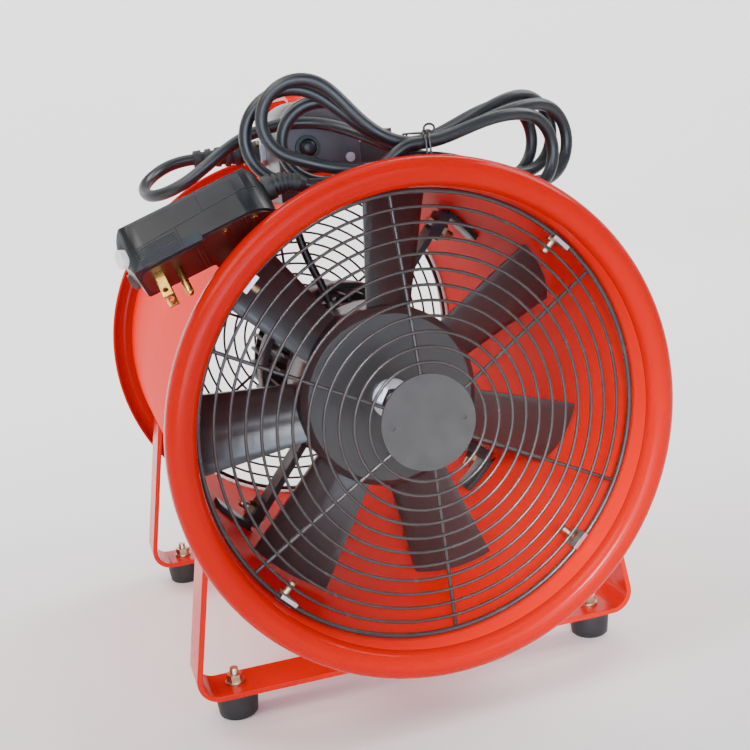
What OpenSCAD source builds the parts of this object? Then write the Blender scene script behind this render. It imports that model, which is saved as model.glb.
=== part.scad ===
// Portable axial ventilator: a rolled drum on strap legs, with wire guards, a seven-blade
// impeller on a finned motor, a switch box, a carrying handle and a tied supply cord with its plug.
// The front faces -Y, the axis lies along Y, the feet stand on Z = 0. Millimetres.

/* [Drum] */
// Inner radius of the drum
drum_r = 150; // [140:1:165]
// Sheet thickness of the drum and its rolled lips
drum_wall = 2; // [1.5:0.25:3]
// Distance between the middles of the two rolled lips
drum_len = 404; // [390:1:440]
// Outer radius of a lip's half-round section
lip_r = 9.5; // [7:0.5:12]
// Depth of the edge that turns back behind a lip
lip_return = 4; // [2:0.5:8]

/* [Legs] */
// Width of the flat bar that the legs and bars are bent from
strap_w = 36; // [28:1:42]
// Thickness of that flat bar
strap_t = 4; // [3:0.5:6]
// Gap between a lip and the bar under it
bar_gap = 12; // [8:1:30]
// How far a leg's corner stands outside the drum's inner radius
strap_spread = 14.5; // [10:0.5:25]
// Lean of a leg from upright, in degrees
splay = 10; // [6:1:14]
// Bend radius at the middle of the flat bar
strap_bend = 14; // [10:1:22]
// Front strap's middle behind the front lip's middle
front_set = 80; // [60:1:110]
// Rear strap's middle before the rear lip's middle
rear_set = 46; // [40:1:80]
// Sideways distance of a foot from the middle
foot_x = 136; // [110:1:140]
// Height of a rubber foot
foot_h = 19; // [12:1:30]
// Foot diameter under the strap
foot_top_d = 31; // [26:1:34]
// Foot diameter on the floor
foot_base_d = 27; // [22:1:32]
// Diameter of the stud that holds a foot
stud_d = 6; // [5:0.5:8]

/* [Guards] */
// Number of rings in a guard
ring_n = 12; // [9:1:13]
// Radius of the innermost ring
ring_in_r = 39.3; // [36:0.5:48]
// Wire diameter of the inner rings
wire_d = 2.1; // [1.8:0.1:3.5]
// Wire diameter of the outer ring
rim_d = 3.4; // [3:0.2:6]
// Clearance between the outer ring and the drum
rim_gap = 1.3; // [0.8:0.1:1.6]
// Number of spokes
spoke_n = 6; // [4:1:8]
// Wire diameter of a spoke
spoke_d = 2.6; // [2.2:0.1:4.5]
// Turn of the first spoke from the right, in degrees
spoke_turn = 33.6; // [0:0.1:60]
// How far the innermost ring stands before the outer ring
guard_rise = 6.8; // [2:0.2:12]
// Outer ring's plane behind the lip's middle
guard_set = 17; // [12:1:26]
// Radius of the centre plate
plate_r = 32; // [28:1:35]
// Thickness of the centre plate
plate_t = 2; // [1.5:0.25:3]
// Width of a clip
clip_w = 13; // [11:1:20]
// Sheet thickness of a clip
clip_t = 1.25; // [1:0.25:2.5]
// Diameter of a clip bolt
clip_bolt_d = 5; // [4:0.5:6]

/* [Impeller] */
// Radius of the hub
hub_r = 65; // [58:1:72]
// Depth of the hub
hub_depth = 46; // [38:1:50]
// Bevel on the hub's front edge
hub_bevel = 5; // [2:0.5:8]
// Thickness of the hub's rim
hub_wall = 6; // [4:0.5:9]
// Thickness of the hub's front web
hub_web = 9; // [6:0.5:14]
// Hub's face behind the guard's outer ring
hub_set = 73; // [66:1:80]
// Number of blades
blade_n = 7; // [5:1:9]
// Turn of the first blade from the right, in degrees
blade_turn = 29.6; // [0:0.1:51]
// Gap between a blade's tip and the drum
tip_gap = 3; // [2:0.5:9]
// Blade width across the flow at the hub
blade_root_w = 38; // [30:1:44]
// Blade width across the flow at the tip
blade_tip_w = 53; // [44:1:58]
// Thickness of a blade
blade_t = 3; // [2:0.25:5]
// Pitch of a blade from the impeller's plane, in degrees
blade_pitch = 25.5; // [15:0.5:32]
// Radius of a blade's curve
camber_r = 90; // [70:1:140]
// Corner radius at a blade's tip
blade_corner = 3; // [2:0.5:14]
// Middle of the blades behind the hub's face
blade_set = 17; // [16:0.5:24]
// Outer diameter of the hub washer
washer_d = 29; // [24:1:34]
// Thickness of the hub washer
washer_t = 2.5; // [1.5:0.25:4]
// Width across the flats of the shaft nut
nut_w = 19; // [17:1:22]
// Thickness of the shaft nut
nut_t = 10; // [7:0.5:13]

/* [Motor] */
// Gap between the hub and the motor
motor_gap = 8; // [5:0.5:14]
// Outer radius of the motor frame under its fins
motor_r = 58; // [52:1:62]
// Inner radius of the motor frame
motor_bore = 52; // [46:1:53]
// Length of the finned frame
motor_len = 116; // [100:1:130]
// Number of cooling fins
fin_n = 36; // [24:1:44]
// Height of a fin
fin_h = 8; // [5:0.5:11]
// Thickness of a fin
fin_t = 2.4; // [1.6:0.2:3.2]
// Depth of an end bell
bell_depth = 14; // [12:0.5:18]
// Diameter of the shaft
shaft_d = 14; // [12:1:16]
// Diameter of the threaded end
thread_d = 12; // [10:1:12]
// Outer diameter of a bearing
bearing_d = 32; // [28:1:35]
// Width of a bearing
bearing_w = 9; // [7:0.5:10]
// Length of the stator and rotor cores
core_len = 70; // [50:1:72]
// Radius of the rotor
rotor_r = 31; // [26:1:33]
// Air gap between rotor and stator
air_gap = 0.6; // [0.4:0.1:1]
// Length of a winding's end turns
winding_len = 15; // [10:1:18]

/* [Motor carrier] */
// Thickness of the band round the fins
band_t = 4; // [3:0.5:6]
// Width of that band
band_w = 24; // [18:1:36]
// Band's front edge behind the motor frame's front
band_set = 42; // [30:1:60]
// Turn of the first arm from the right, in degrees
arm_turn = 51.5; // [45:0.5:56]
// Width of an arm, a flat bar that stands on edge
arm_w = 22; // [16:1:24]
// Thickness of an arm
arm_t = 5; // [4:0.5:7]
// Gap between an arm's end and the drum
arm_gap = 4; // [3:0.5:8]
// Sheet thickness of a welded tab
tab_t = 4; // [3:0.5:6]
// How far a tab stands in from the drum
tab_rise = 26; // [22:1:36]
// Length of a tab's foot round the drum
tab_foot = 32; // [20:1:40]
// Diameter of an arm bolt
arm_bolt_d = 6; // [5:0.5:8]
// Arm bolt's distance from the drum
arm_bolt_in = 15; // [13:0.5:18]

/* [Handle] */
// Width of the handle's flat bar
handle_w = 30; // [24:1:36]
// Thickness of the handle's flat bar
handle_t = 4; // [3:0.5:6]
// Height of the handle over the drum
handle_rise = 66; // [50:1:80]
// Length of the handle over its legs
handle_len = 110; // [95:1:120]
// Front leg behind the drum's middle
handle_set = 40; // [34:1:46]
// Bend radius at the middle of the bar
handle_bend = 22; // [14:1:30]

/* [Switch box] */
// Sideways place of the box, left of the middle
box_x = 30; // [28:1:36]
// Width of the box body
box_w = 54; // [48:1:58]
// Height of the straight sides
box_side = 20; // [16:1:26]
// Depth of the box body
box_depth = 69; // [60:1:72]
// Wall of the box
box_wall = 2.5; // [2:0.25:4]
// Front of the box body behind the front lip's middle
box_set = 108; // [98:1:110]
// Thickness of the front cover
cover_t = 6; // [4:0.5:8]
// How far the cover stands proud of the body
cover_rim = 1.5; // [1:0.25:3]
// Height of the box floor over the drum's top
box_lift = 11; // [9:0.5:16]
// Thickness of the saddle plate
saddle_t = 3; // [2:0.5:5]
// Width of a saddle foot
saddle_foot = 12; // [8:1:16]
// Width of the ear beside the box
ear_w = 28; // [22:1:32]
// Height of the ear over the box floor
ear_h = 18; // [12:1:24]
// Lean of the ear's top towards the box, in degrees
ear_lean = 18; // [0:1:25]
// Diameter of the push button
button_d = 11; // [9:0.5:12]
// How far the button stands out of its bezel
button_out = 4; // [3.5:0.5:6]
// Travel of the push button
button_travel = 2.5; // [1.5:0.5:3]
// Diameter of the button's stem
stem_d = 5; // [4:0.5:6]
// Outer diameter of the bezel
bezel_d = 17; // [15:0.5:20]
// Button's distance left of the box's middle
button_side = 8; // [0:0.5:10]
// Diameter of the toggle switch's bushing
toggle_d = 6; // [5.5:0.25:8]
// Height of the bushing over the ear
toggle_up = 6; // [5:0.5:8]
// Length of the toggle lever over its bushing
lever_len = 9.5; // [7:0.5:14]
// Swing of the lever either side of the bushing's axis, in degrees
lever_swing = 12; // [8:1:14]
// Radius of the capacitor
cap_r = 14; // [10:0.5:15]
// Length of the capacitor
cap_len = 34; // [24:1:38]

/* [Cord and plug] */
// Diameter of the supply cord
cord_d = 8; // [7:0.1:8.5]
// Length of the boot on the box
boot_len = 50; // [42:1:56]
// Boot radius at the box
boot_r = 8.5; // [7:0.25:10]
// Height of the boot over the box floor
boot_h = 14; // [11:0.5:16]
// Diameter of the motor cable
cable_d = 6.4; // [5:0.2:8]
// Turn of the motor cable from the right, in degrees
cable_turn = 107; // [100:0.5:112]
// Motor cable behind the motor frame's front
cable_set = 8; // [6:0.5:10]
// Length of the plug under its keyed end
plug_len = 92; // [84:1:100]
// How far the keyed end leans out over that length
plug_nose = 5; // [0:0.5:7]
// Width of the plug body
plug_w = 40; // [36:1:44]
// Height of the plug's shell
plug_tall = 34; // [30:1:38]
// Thickness of the plate under the plug
plug_base_t = 4; // [3:0.5:5]
// Corner radius of the plug seen from above
plug_corner = 18; // [14:1:19]
// Radius of the plug's long upper edges
plug_edge = 9; // [5:0.5:12]
// Bend of the plug's strain relief, in degrees
relief_turn = 40; // [30:1:50]
// Radius of that bend
relief_bend = 24; // [20:1:30]
// Spacing of the two flat blades
blade_gap = 12.7; // [12:0.1:13]
// Width of a flat blade
prong_w = 6.35; // [6:0.05:8]
// Thickness of a flat blade
prong_t = 1.5; // [1.4:0.05:1.7]
// Length of a flat blade
prong_len = 17.5; // [15:0.5:19]
// Diameter of the round pin
pin_d = 4.8; // [4.6:0.1:5.2]
// Length of the round pin
pin_len = 20; // [17:0.5:22]
// Travel of a plug button
key_travel = 1.5; // [1:0.25:2]

/* [Hidden] */
$fn = 96;

PAINT = [0.86, 0.22, 0.1];
DARK = [0.13, 0.13, 0.14];
GREY = [0.32, 0.32, 0.33];
ZINC = [0.78, 0.78, 0.76];
GOLD = [0.72, 0.6, 0.32];
BROWN = [0.22, 0.12, 0.1];

// Fits
weld_gap = 0.05;
bend_n = 12;
slide_gap = 0.05;
seat_gap = 0.02;
bolt_gap = 0.3;
key_gap = 0.3;
weld_lap = 0.5;

// Places that follow from the sizes above, measured from the axis and the drum's middle
drum_out = drum_r + drum_wall;
lip_mid = drum_len / 2;
bar_drop = drum_r + 2 * lip_r + bar_gap;
axis_h = bar_drop + strap_t + foot_h;
front_mid = lip_mid - front_set;
rear_mid = rear_set - lip_mid;
guard_r = drum_r - rim_gap - rim_d / 2;
guard_fwd = lip_mid - guard_set;
ring_step = (guard_r - ring_in_r) / (ring_n - 1);
cone = guard_rise / (guard_r - ring_in_r);
spoke_back = (wire_d + spoke_d) / 2 - weld_lap;
clip_turns = [45, 135, 225, 315];
clip_in = rim_d + rim_gap + clip_t;
clip_bolt_back = 12;
hub_face = guard_fwd - hub_set;
hub_back = hub_face - hub_depth;
tip_r = drum_r - tip_gap;
blade_mid = hub_face - blade_set;
bell_face = hub_back - motor_gap;
frame_front = bell_face - bell_depth;
cable_fwd = frame_front - cable_set;
frame_back = frame_front - motor_len;
fin_r = motor_r + fin_h;
core_mid = frame_front - motor_len / 2;
shaft_r = shaft_d / 2;
arm_turns = [for (k = [0 : 3]) arm_turn + 90 * k];
band_front = frame_front - band_set;
arm_mid = band_front - band_w / 2;
arm_back = arm_mid - arm_w / 2;
arm_bolt_r = drum_r - arm_bolt_in;
box_floor = drum_out + box_lift;
box_front = lip_mid - box_set;
box_r = box_w / 2;
dome_mid = box_floor + box_side;
cover_face = box_front + cover_t;
box_back = box_front - box_depth;
box_left = -box_x - box_r;
box_right = box_r - box_x;
saddle_under = box_floor - saddle_t;
ear_left = box_right + cover_rim + 0.5;
button_z = dome_mid - 5;
bezel_t = 2;
ear_deep = 22;
ball_r = toggle_d / 2 - 0.8;
lever_deep = 3;
flange_t = 4;
flange_w = 22;
flange_h = 20;
boot_fwd = box_back + 15;
boot_up = box_floor + boot_h;
boot_tip_r = cord_d / 2 + 1.8;
plug_turn = [-38, -20, -6];
plug_half = plug_len / 2;
plug_up = 16;
plug_low = plug_up - plug_tall;
plate_up = plug_low + plug_base_t - 1;
plug_under = plug_low - 1;
relief_up = 4;
relief_collar = 5;
relief_end = 4;
key_out = 3.5;
key_wide = 8;
key_tall = 12;
key_turn = 35;
key_up = -4;
key_in = key_travel + 2;
prong_x = 12 - plug_half;
pin_x = prong_x + 11.9;

// The cord lies over the drum behind the front lip and moves with them
cord_shift = [0, 202 - lip_mid, drum_out - 152];

// Hank: half-turns alternate right and left, each with its reach, end radius and tilt
waist = cord_shift + [16, -147, 170.6];
waist_half = 4.8;
hank_step = 10;
hank_lean = 20;
hank_run = 0.32;
climb_run = 70;
right_loops = [[92, 24, -1], [104, 25, 2], [112, 25, -2.5], [94, 25, -7.5]];
left_loops = [[82, 25, 11], [106, 29, 12], [100, 24, 20]];
half_turns = 7;

// Cord routes, from the axis: X, Y and height over the axis
boot_tip = [box_left - boot_len, -boot_fwd, boot_up];
box_route = concat([boot_tip], [for (p = [
  [-115, -40, 176.5], [-126, -41, 174], [-137, -48, 169], [-145, -60, 163.5],
  [-147, -75, 159], [-144, -90, 157], [-135, -102, 159], [-122, -109, 165], [-108, -111, 174],
  [-94, -110, 183], [-79, -108.5, 190], [-62, -108.5, 194], [-46, -110, 195], [-30, -115, 193],
  [-15, -125, 187], [-3, -137, 180], [9, -147, 172.5]]) p + cord_shift]);

// The plug hangs by the end of its strain relief, which bends down behind the lip
plug_end = cord_shift + [-84.8, -174, 157.2];
plug_x = [cos(plug_turn[1]) * cos(plug_turn[2]), cos(plug_turn[1]) * sin(plug_turn[2]), -sin(plug_turn[1])];
plug_z = [sin(plug_turn[1]) * cos(plug_turn[2]), sin(plug_turn[1]) * sin(plug_turn[2]), cos(plug_turn[1])];
relief_out = relief_collar + relief_bend * sin(relief_turn) + relief_end * cos(relief_turn);
relief_down = relief_bend * (1 - cos(relief_turn)) + relief_end * sin(relief_turn);
plug_route = concat([plug_end + relief_out * plug_x - relief_down * plug_z], [for (p = [
  [-54, -177.2, 155.3], [-44.5, -179, 152], [-33, -182, 153.2], [-22, -184.5, 157],
  [-11, -186.3, 165], [-1, -187, 172]]) p + cord_shift]);

// Shapes used by several pieces
module on_axis() {
  translate([0, 0, axis_h]) rotate([90, 0, 0]) children();
}

module radial(turn, fwd, r0, r1, d) {
  rotate([0, 0, turn]) translate([r0, 0, fwd]) rotate([0, 90, 0]) cylinder(d = d, h = r1 - r0);
}

module ring(r0, r1, h) {
  difference() {
    cylinder(r = r1, h = h);
    translate([0, 0, -1]) cylinder(r = r0, h = h + 2);
  }
}

module hex(w, h) {
  cylinder(d = w / cos(30), h = h, $fn = 6);
}

module round_plate(x, y, h, r) {
  linear_extrude(h) union() {
    square([x - 2 * r, y], center = true);
    square([x, y - 2 * r], center = true);
    for (i = [-1, 1], j = [-1, 1]) translate([i * (x / 2 - r), j * (y / 2 - r)]) circle(r = r);
  }
}

module flat_bend(turn, bend, t, w) {
  rotate_extrude(angle = turn) translate([bend - t / 2, 0]) square([t, w]);
}

module lip_section() {
  difference() {
    circle(r = lip_r);
    circle(r = lip_r - drum_wall);
    translate([-2 * lip_r, -4 * lip_r]) square(4 * lip_r);
  }
  translate([lip_r - drum_wall, -lip_return]) square([drum_wall, lip_return]);
}

module drum() {
  color(PAINT) on_axis() difference() {
    translate([0, 0, weld_gap - lip_mid]) ring(drum_r, drum_out, drum_len - 2 * weld_gap);
    for (a = clip_turns, s = [-1, 1])
      radial(a, s * (guard_fwd - clip_bolt_back), drum_r - 5, drum_out + 5, clip_bolt_d + bolt_gap);
    radial(cable_turn, cable_fwd, drum_r - 5, drum_out + 5, cable_d + 5);
  }
}

module lip() {
  rotate_extrude() translate([drum_r + lip_r, lip_mid]) lip_section();
}

module front_lip() {
  color(PAINT) on_axis() lip();
}

module rear_lip() {
  color(PAINT) on_axis() mirror([0, 0, 1]) lip();
}

// Legs
function turned(p) = [for (i = [len(p) - 1 : -1 : 0]) p[i]];

function across(p) = [for (q = p) [-q[0], q[1]]];

// One face of the right leg: round the bend, then up to the leg's end
function strap_side(bend_mid, r, leg) = concat(
  [for (k = [0 : bend_n]) let (a = (90 + splay) * k / bend_n - 90) bend_mid + r * [cos(a), sin(a)]],
  [bend_mid + r * [cos(splay), sin(splay)] + leg * [-sin(splay), cos(splay)]]);

module strap(mid) {
  turn = 90 + splay;
  bar_half = drum_r + strap_spread - strap_bend * tan(turn / 2);
  bend_mid = [bar_half, strap_bend - bar_drop - strap_t / 2];
  start = bend_mid + strap_bend * [cos(splay), sin(splay)];
  along = start[0] * sin(splay) - start[1] * cos(splay);
  reach = along - sqrt(along * along - start * start + drum_out * drum_out);
  leg = reach + 3 * strap_t;
  outer = strap_side(bend_mid, strap_bend + strap_t / 2, leg);
  inner = strap_side(bend_mid, strap_bend - strap_t / 2, leg);
  on_axis() difference() {
    translate([0, 0, mid - strap_w / 2]) linear_extrude(strap_w)
      polygon(concat(outer, turned(inner), across(inner), turned(across(outer))));
    translate([0, 0, mid - strap_w]) cylinder(r = drum_out + weld_gap, h = 2 * strap_w);
    for (s = [-1, 1]) translate([s * foot_x, -bar_drop + 1, mid]) rotate([90, 0, 0])
      cylinder(d = stud_d + bolt_gap, h = strap_t + 2);
  }
}

module front_strap() {
  color(PAINT) strap(front_mid);
}

module rear_strap() {
  color(PAINT) strap(rear_mid);
}

module at_feet() {
  for (s = [-1, 1], mid = [front_mid, rear_mid]) translate([s * foot_x, -mid, 0]) children();
}

module feet() {
  socket = foot_h - 1.2 * stud_d;
  color(DARK) at_feet() difference() {
    union() {
      cylinder(d1 = foot_base_d - 3, d2 = foot_base_d, h = 1.5);
      translate([0, 0, 1.5]) cylinder(d1 = foot_base_d, d2 = foot_top_d, h = foot_h - 1.5);
    }
    translate([0, 0, socket]) cylinder(d = stud_d, h = foot_h);
  }
}

module foot_studs() {
  socket = foot_h - 1.2 * stud_d;
  bar_top = foot_h + strap_t;
  color(GOLD) at_feet() {
    translate([0, 0, socket]) cylinder(d = stud_d - slide_gap, h = bar_top - socket + 1.85 * stud_d);
    translate([0, 0, bar_top]) cylinder(d = 2.3 * stud_d, h = 0.27 * stud_d);
    translate([0, 0, bar_top + 0.27 * stud_d]) hex(1.7 * stud_d, 0.85 * stud_d);
  }
}

// Guards
module guard() {
  spoke_in = plate_r - 5;
  spoke_len = (guard_r - spoke_in) / cos(atan(cone));
  plate_back = cone * (guard_r - plate_r) - spoke_back + spoke_d / 2 - weld_lap;
  for (k = [0 : ring_n - 1]) {
    r = ring_in_r + k * ring_step;
    d = k == ring_n - 1 ? rim_d : wire_d;
    rotate_extrude() translate([r, cone * (guard_r - r)]) circle(d = d, $fn = 24);
  }
  for (k = [0 : spoke_n - 1]) rotate([0, 0, spoke_turn + k * 360 / spoke_n])
    translate([guard_r, 0, -spoke_back]) rotate([0, -90 + atan(cone), 0])
      cylinder(d = spoke_d, h = spoke_len, $fn = 24);
  translate([0, 0, plate_back]) difference() {
    cylinder(r = plate_r, h = plate_t);
    for (s = [-1, 1]) translate([0.75 * s * plate_r, 0, plate_t / 2]) cylinder(d = 3.4, h = plate_t);
  }
}

module front_guard() {
  color(GREY) on_axis() translate([0, 0, guard_fwd]) guard();
}

module rear_guard() {
  color(DARK) on_axis() mirror([0, 0, 1]) translate([0, 0, guard_fwd]) guard();
}

module at_clips() {
  on_axis() for (m = [0, 1], a = clip_turns) mirror([0, 0, m]) rotate([0, 0, a])
    translate([drum_r, 0, guard_fwd]) children();
}

module guard_clips() {
  inner = -clip_in - 0.3;
  hook = inner + 2.2 * clip_t;
  ahead = rim_d / 2 + 0.4;
  behind = rim_d / 2 + 1.6;
  wall = weld_gap + pow(clip_w / 2, 2) / (2 * drum_r);
  color(ZINC) at_clips() difference() {
    translate([0, clip_w / 2, 0]) rotate([90, 0, 0]) linear_extrude(clip_w) polygon([
      [-wall, -clip_bolt_back - 7], [-wall - clip_t, -clip_bolt_back - 7],
      [-wall - clip_t, -behind - clip_t], [inner, -behind], [inner, ahead + clip_t], [hook, ahead + clip_t],
      [hook, ahead], [inner + clip_t, ahead], [inner + clip_t, -behind + 0.4],
      [-wall, -behind - clip_t + 0.8]]);
    translate([-10, 0, -clip_bolt_back]) rotate([0, 90, 0]) cylinder(d = clip_bolt_d + bolt_gap, h = 20);
  }
}

module guard_bolts() {
  wall = weld_gap + pow(clip_w / 2, 2) / (2 * drum_r);
  color(GOLD) at_clips() translate([0, 0, -clip_bolt_back]) rotate([0, 90, 0]) {
    translate([0, 0, drum_wall + 0.1]) hex(1.7 * clip_bolt_d, 3.5);
    translate([0, 0, -14]) cylinder(d = clip_bolt_d, h = 14 + drum_wall + 0.2);
    translate([0, 0, -wall - clip_t - 4]) hex(1.7 * clip_bolt_d, 4);
  }
}

// Impeller and its shaft
module blade_outline() {
  root_r = hub_r - hub_wall / 2;
  root_h = blade_root_w / 2;
  tip_h = blade_tip_w / 2;
  arc = [for (a = [0 : 15 : 90]) a];
  far = tip_r + 1 - blade_corner;
  polygon(concat([[root_r, -root_h]],
    [for (a = arc) [far + blade_corner * sin(a), blade_corner * (1 - cos(a)) - tip_h]],
    [for (a = arc) [far + blade_corner * cos(a), tip_h - blade_corner * (1 - sin(a))]],
    [[root_r, root_h]]));
}

module blade() {
  sag = camber_r - sqrt(pow(camber_r, 2) - pow(blade_tip_w / 2, 2));
  intersection() {
    translate([0, 0, blade_mid]) rotate([blade_pitch, 0, 0]) translate([0, 0, sag / 2 - camber_r])
      rotate([0, 90, 0]) ring(camber_r - blade_t, camber_r, tip_r + 10);
    translate([0, 0, hub_back]) linear_extrude(hub_depth) blade_outline();
    translate([0, 0, hub_back]) cylinder(r = tip_r, h = hub_depth);
  }
}

module impeller() {
  boss_r = shaft_d;
  color(DARK) on_axis() {
    rotate_extrude() polygon([
      [shaft_r + seat_gap, hub_face], [hub_r - hub_bevel, hub_face], [hub_r, hub_face - hub_bevel],
      [hub_r, hub_back], [hub_r - hub_wall, hub_back], [hub_r - hub_wall, hub_face - hub_web],
      [boss_r, hub_face - hub_web], [boss_r, hub_back], [shaft_r + seat_gap, hub_back]]);
    for (k = [0 : blade_n - 1]) rotate([0, 0, blade_turn + k * 360 / blade_n]) blade();
  }
}

module hub_washer() {
  color(ZINC) on_axis() translate([0, 0, hub_face]) ring(thread_d / 2 + seat_gap, washer_d / 2, washer_t);
}

module shaft_nut() {
  color(ZINC) on_axis() translate([0, 0, hub_face + washer_t]) difference() {
    intersection() {
      hex(nut_w, nut_t);
      cylinder(r1 = nut_w, r2 = nut_w / 2, h = nut_t + nut_w / 4);
    }
    translate([0, 0, -1]) cylinder(d = thread_d + 2 * seat_gap, h = nut_t + 2);
  }
}

module shaft() {
  back = frame_back - bell_depth + 2;
  tip = hub_face + washer_t + nut_t + 4;
  color(ZINC) on_axis() {
    translate([0, 0, back]) cylinder(r = shaft_r, h = hub_face - back);
    translate([0, 0, hub_face - 1]) cylinder(d = thread_d, h = tip - hub_face + 1);
  }
}

module rotor() {
  color(GREY) on_axis() translate([0, 0, core_mid - core_len / 2])
    ring(shaft_r + seat_gap, rotor_r, core_len);
}

// Motor
module motor_frame() {
  color(DARK) on_axis() difference() {
    union() {
      translate([0, 0, frame_back]) linear_extrude(motor_len) difference() {
        union() {
          circle(r = motor_r);
          for (k = [0 : fin_n - 1]) rotate((k + 0.5) * 360 / fin_n)
            translate([motor_r - 1, -fin_t / 2]) square([fin_h + 1, fin_t]);
        }
        circle(r = motor_bore);
      }
      radial(cable_turn, cable_fwd, motor_bore + 2, fin_r, cable_d + 6);
    }
    radial(cable_turn, cable_fwd, fin_r - 4, fin_r + 4, cable_d + 2 * slide_gap);
  }
}

module bell() {
  neck = bearing_d / 2 + 5;
  seat = bell_depth - bearing_w - 1;
  seat_r = bearing_d / 2 + seat_gap;
  rotate_extrude() polygon([
    [motor_bore - 4, 0], [motor_r + fin_h / 2, 0], [motor_r + fin_h / 2, 5], [motor_bore, bell_depth - 3],
    [neck, bell_depth - 3], [neck - 3, bell_depth], [shaft_r + 1, bell_depth],
    [shaft_r + 1, bell_depth - 1], [seat_r, bell_depth - 1], [seat_r, seat],
    [neck, seat], [neck, seat + 3], [motor_bore - 4, 3]]);
}

module front_bell() {
  color(DARK) on_axis() translate([0, 0, frame_front]) bell();
}

module rear_bell() {
  color(DARK) on_axis() translate([0, 0, frame_back]) mirror([0, 0, 1]) bell();
}

module stator() {
  color(GREY) on_axis() translate([0, 0, core_mid - core_len / 2])
    ring(rotor_r + air_gap, motor_bore - seat_gap, core_len);
}

module windings() {
  color([0.7, 0.38, 0.18]) on_axis() for (s = [0, 1])
    translate([0, 0, core_mid + (s == 0 ? core_len / 2 : -core_len / 2 - winding_len)])
      ring(rotor_r + 3, motor_bore - 3, winding_len);
}

module bearing() {
  ring(shaft_r + slide_gap, bearing_d / 2, bearing_w);
}

module front_bearing() {
  color(ZINC) on_axis() translate([0, 0, bell_face - 1 - bearing_w]) bearing();
}

module rear_bearing() {
  color(ZINC) on_axis() translate([0, 0, frame_back - bell_depth + 1]) bearing();
}

// Motor carrier and its welded tabs
module motor_carrier() {
  arm_in = fin_r + band_t / 2;
  arm_out = drum_r - arm_gap;
  color(DARK) on_axis() difference() {
    union() {
      translate([0, 0, band_front - band_w]) ring(fin_r + seat_gap, fin_r + band_t, band_w);
      for (a = arm_turns) rotate([0, 0, a]) translate([arm_in, -arm_t / 2, arm_back])
        cube([arm_out - arm_in, arm_t, arm_w]);
    }
    at_arm_bolts() translate([0, 0, -arm_t]) cylinder(d = arm_bolt_d + bolt_gap, h = 2 * arm_t);
  }
}

// On each arm's middle, its third axis through the arm towards the tab
module at_arm_bolts() {
  for (a = arm_turns) rotate([0, 0, a]) translate([arm_bolt_r, 0, arm_mid]) rotate([90, 0, 0]) children();
}

module arm_tabs() {
  side = -arm_t / 2;
  color(DARK) on_axis() difference() {
    for (a = arm_turns) rotate([0, 0, a]) intersection() {
      union() {
        translate([drum_r - tab_rise, side - tab_t, arm_back]) cube([tab_rise, tab_t, arm_w]);
        intersection() {
          translate([0, 0, arm_back]) ring(drum_r - weld_gap - tab_t, drum_r + 1, arm_w);
          translate([drum_r / 2, side - tab_foot, arm_back]) cube([drum_r, tab_foot, arm_w]);
        }
      }
      translate([0, 0, arm_back - 1]) cylinder(r = drum_r - weld_gap, h = arm_w + 2);
    }
    at_arm_bolts() cylinder(d = arm_bolt_d + bolt_gap, h = arm_t + 2 * tab_t);
  }
}

module arm_bolts() {
  head_t = 0.6 * arm_bolt_d;
  face = arm_t / 2;
  color(GOLD) on_axis() at_arm_bolts() {
    translate([0, 0, -face - head_t]) hex(1.6 * arm_bolt_d, head_t);
    translate([0, 0, -face - 0.1]) cylinder(d = arm_bolt_d, h = arm_t + tab_t + 1.9 * arm_bolt_d);
    translate([0, 0, face + tab_t]) hex(1.6 * arm_bolt_d, 0.8 * arm_bolt_d);
  }
}

module motor_cable() {
  color(DARK) difference() {
    on_axis() radial(cable_turn, cable_fwd, fin_r - 3, box_floor / sin(cable_turn), cable_d);
    translate([-drum_r, -drum_r, axis_h + saddle_under]) cube(2 * drum_r);
  }
}

module cable_grommet() {
  color(DARK) on_axis() difference() {
    union() {
      radial(cable_turn, cable_fwd, drum_r - 2, drum_out + 2.5, cable_d + 4.8);
      radial(cable_turn, cable_fwd, drum_out + 0.35, drum_out + 2.5, cable_d + 8);
    }
    radial(cable_turn, cable_fwd, drum_r - 5, drum_out + 5, cable_d + 2 * slide_gap);
  }
}

// Carrying handle
module handle() {
  rise = drum_out + handle_rise - handle_t / 2;
  leg = handle_t / 2;
  color(PAINT) difference() {
    translate([-handle_w / 2, handle_set, axis_h]) rotate([90, 0, 90]) union() {
      for (s = [0, 1]) translate([s * handle_len, 0, 0]) mirror([s, 0, 0]) {
        translate([0, drum_out - 12, 0]) cube([handle_t, rise - handle_bend - drum_out + 12, handle_w]);
        translate([handle_bend + leg, rise - handle_bend, 0]) rotate([0, 0, 90])
          flat_bend(90, handle_bend, handle_t, handle_w);
      }
      translate([handle_bend + leg, rise - leg, 0])
        cube([handle_len - 2 * handle_bend - handle_t, handle_t, handle_w]);
    }
    on_axis() translate([0, 0, -drum_len / 2]) cylinder(r = drum_out + weld_gap, h = drum_len);
  }
}

// Switch box
module dome(r, side) {
  difference() {
    circle(r = r);
    translate([-2 * r, -4 * r]) square(4 * r);
  }
  translate([-r, -side]) square([2 * r, side]);
}

module at_dome(fwd) {
  on_axis() translate([-box_x, dome_mid, fwd]) children();
}

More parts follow.
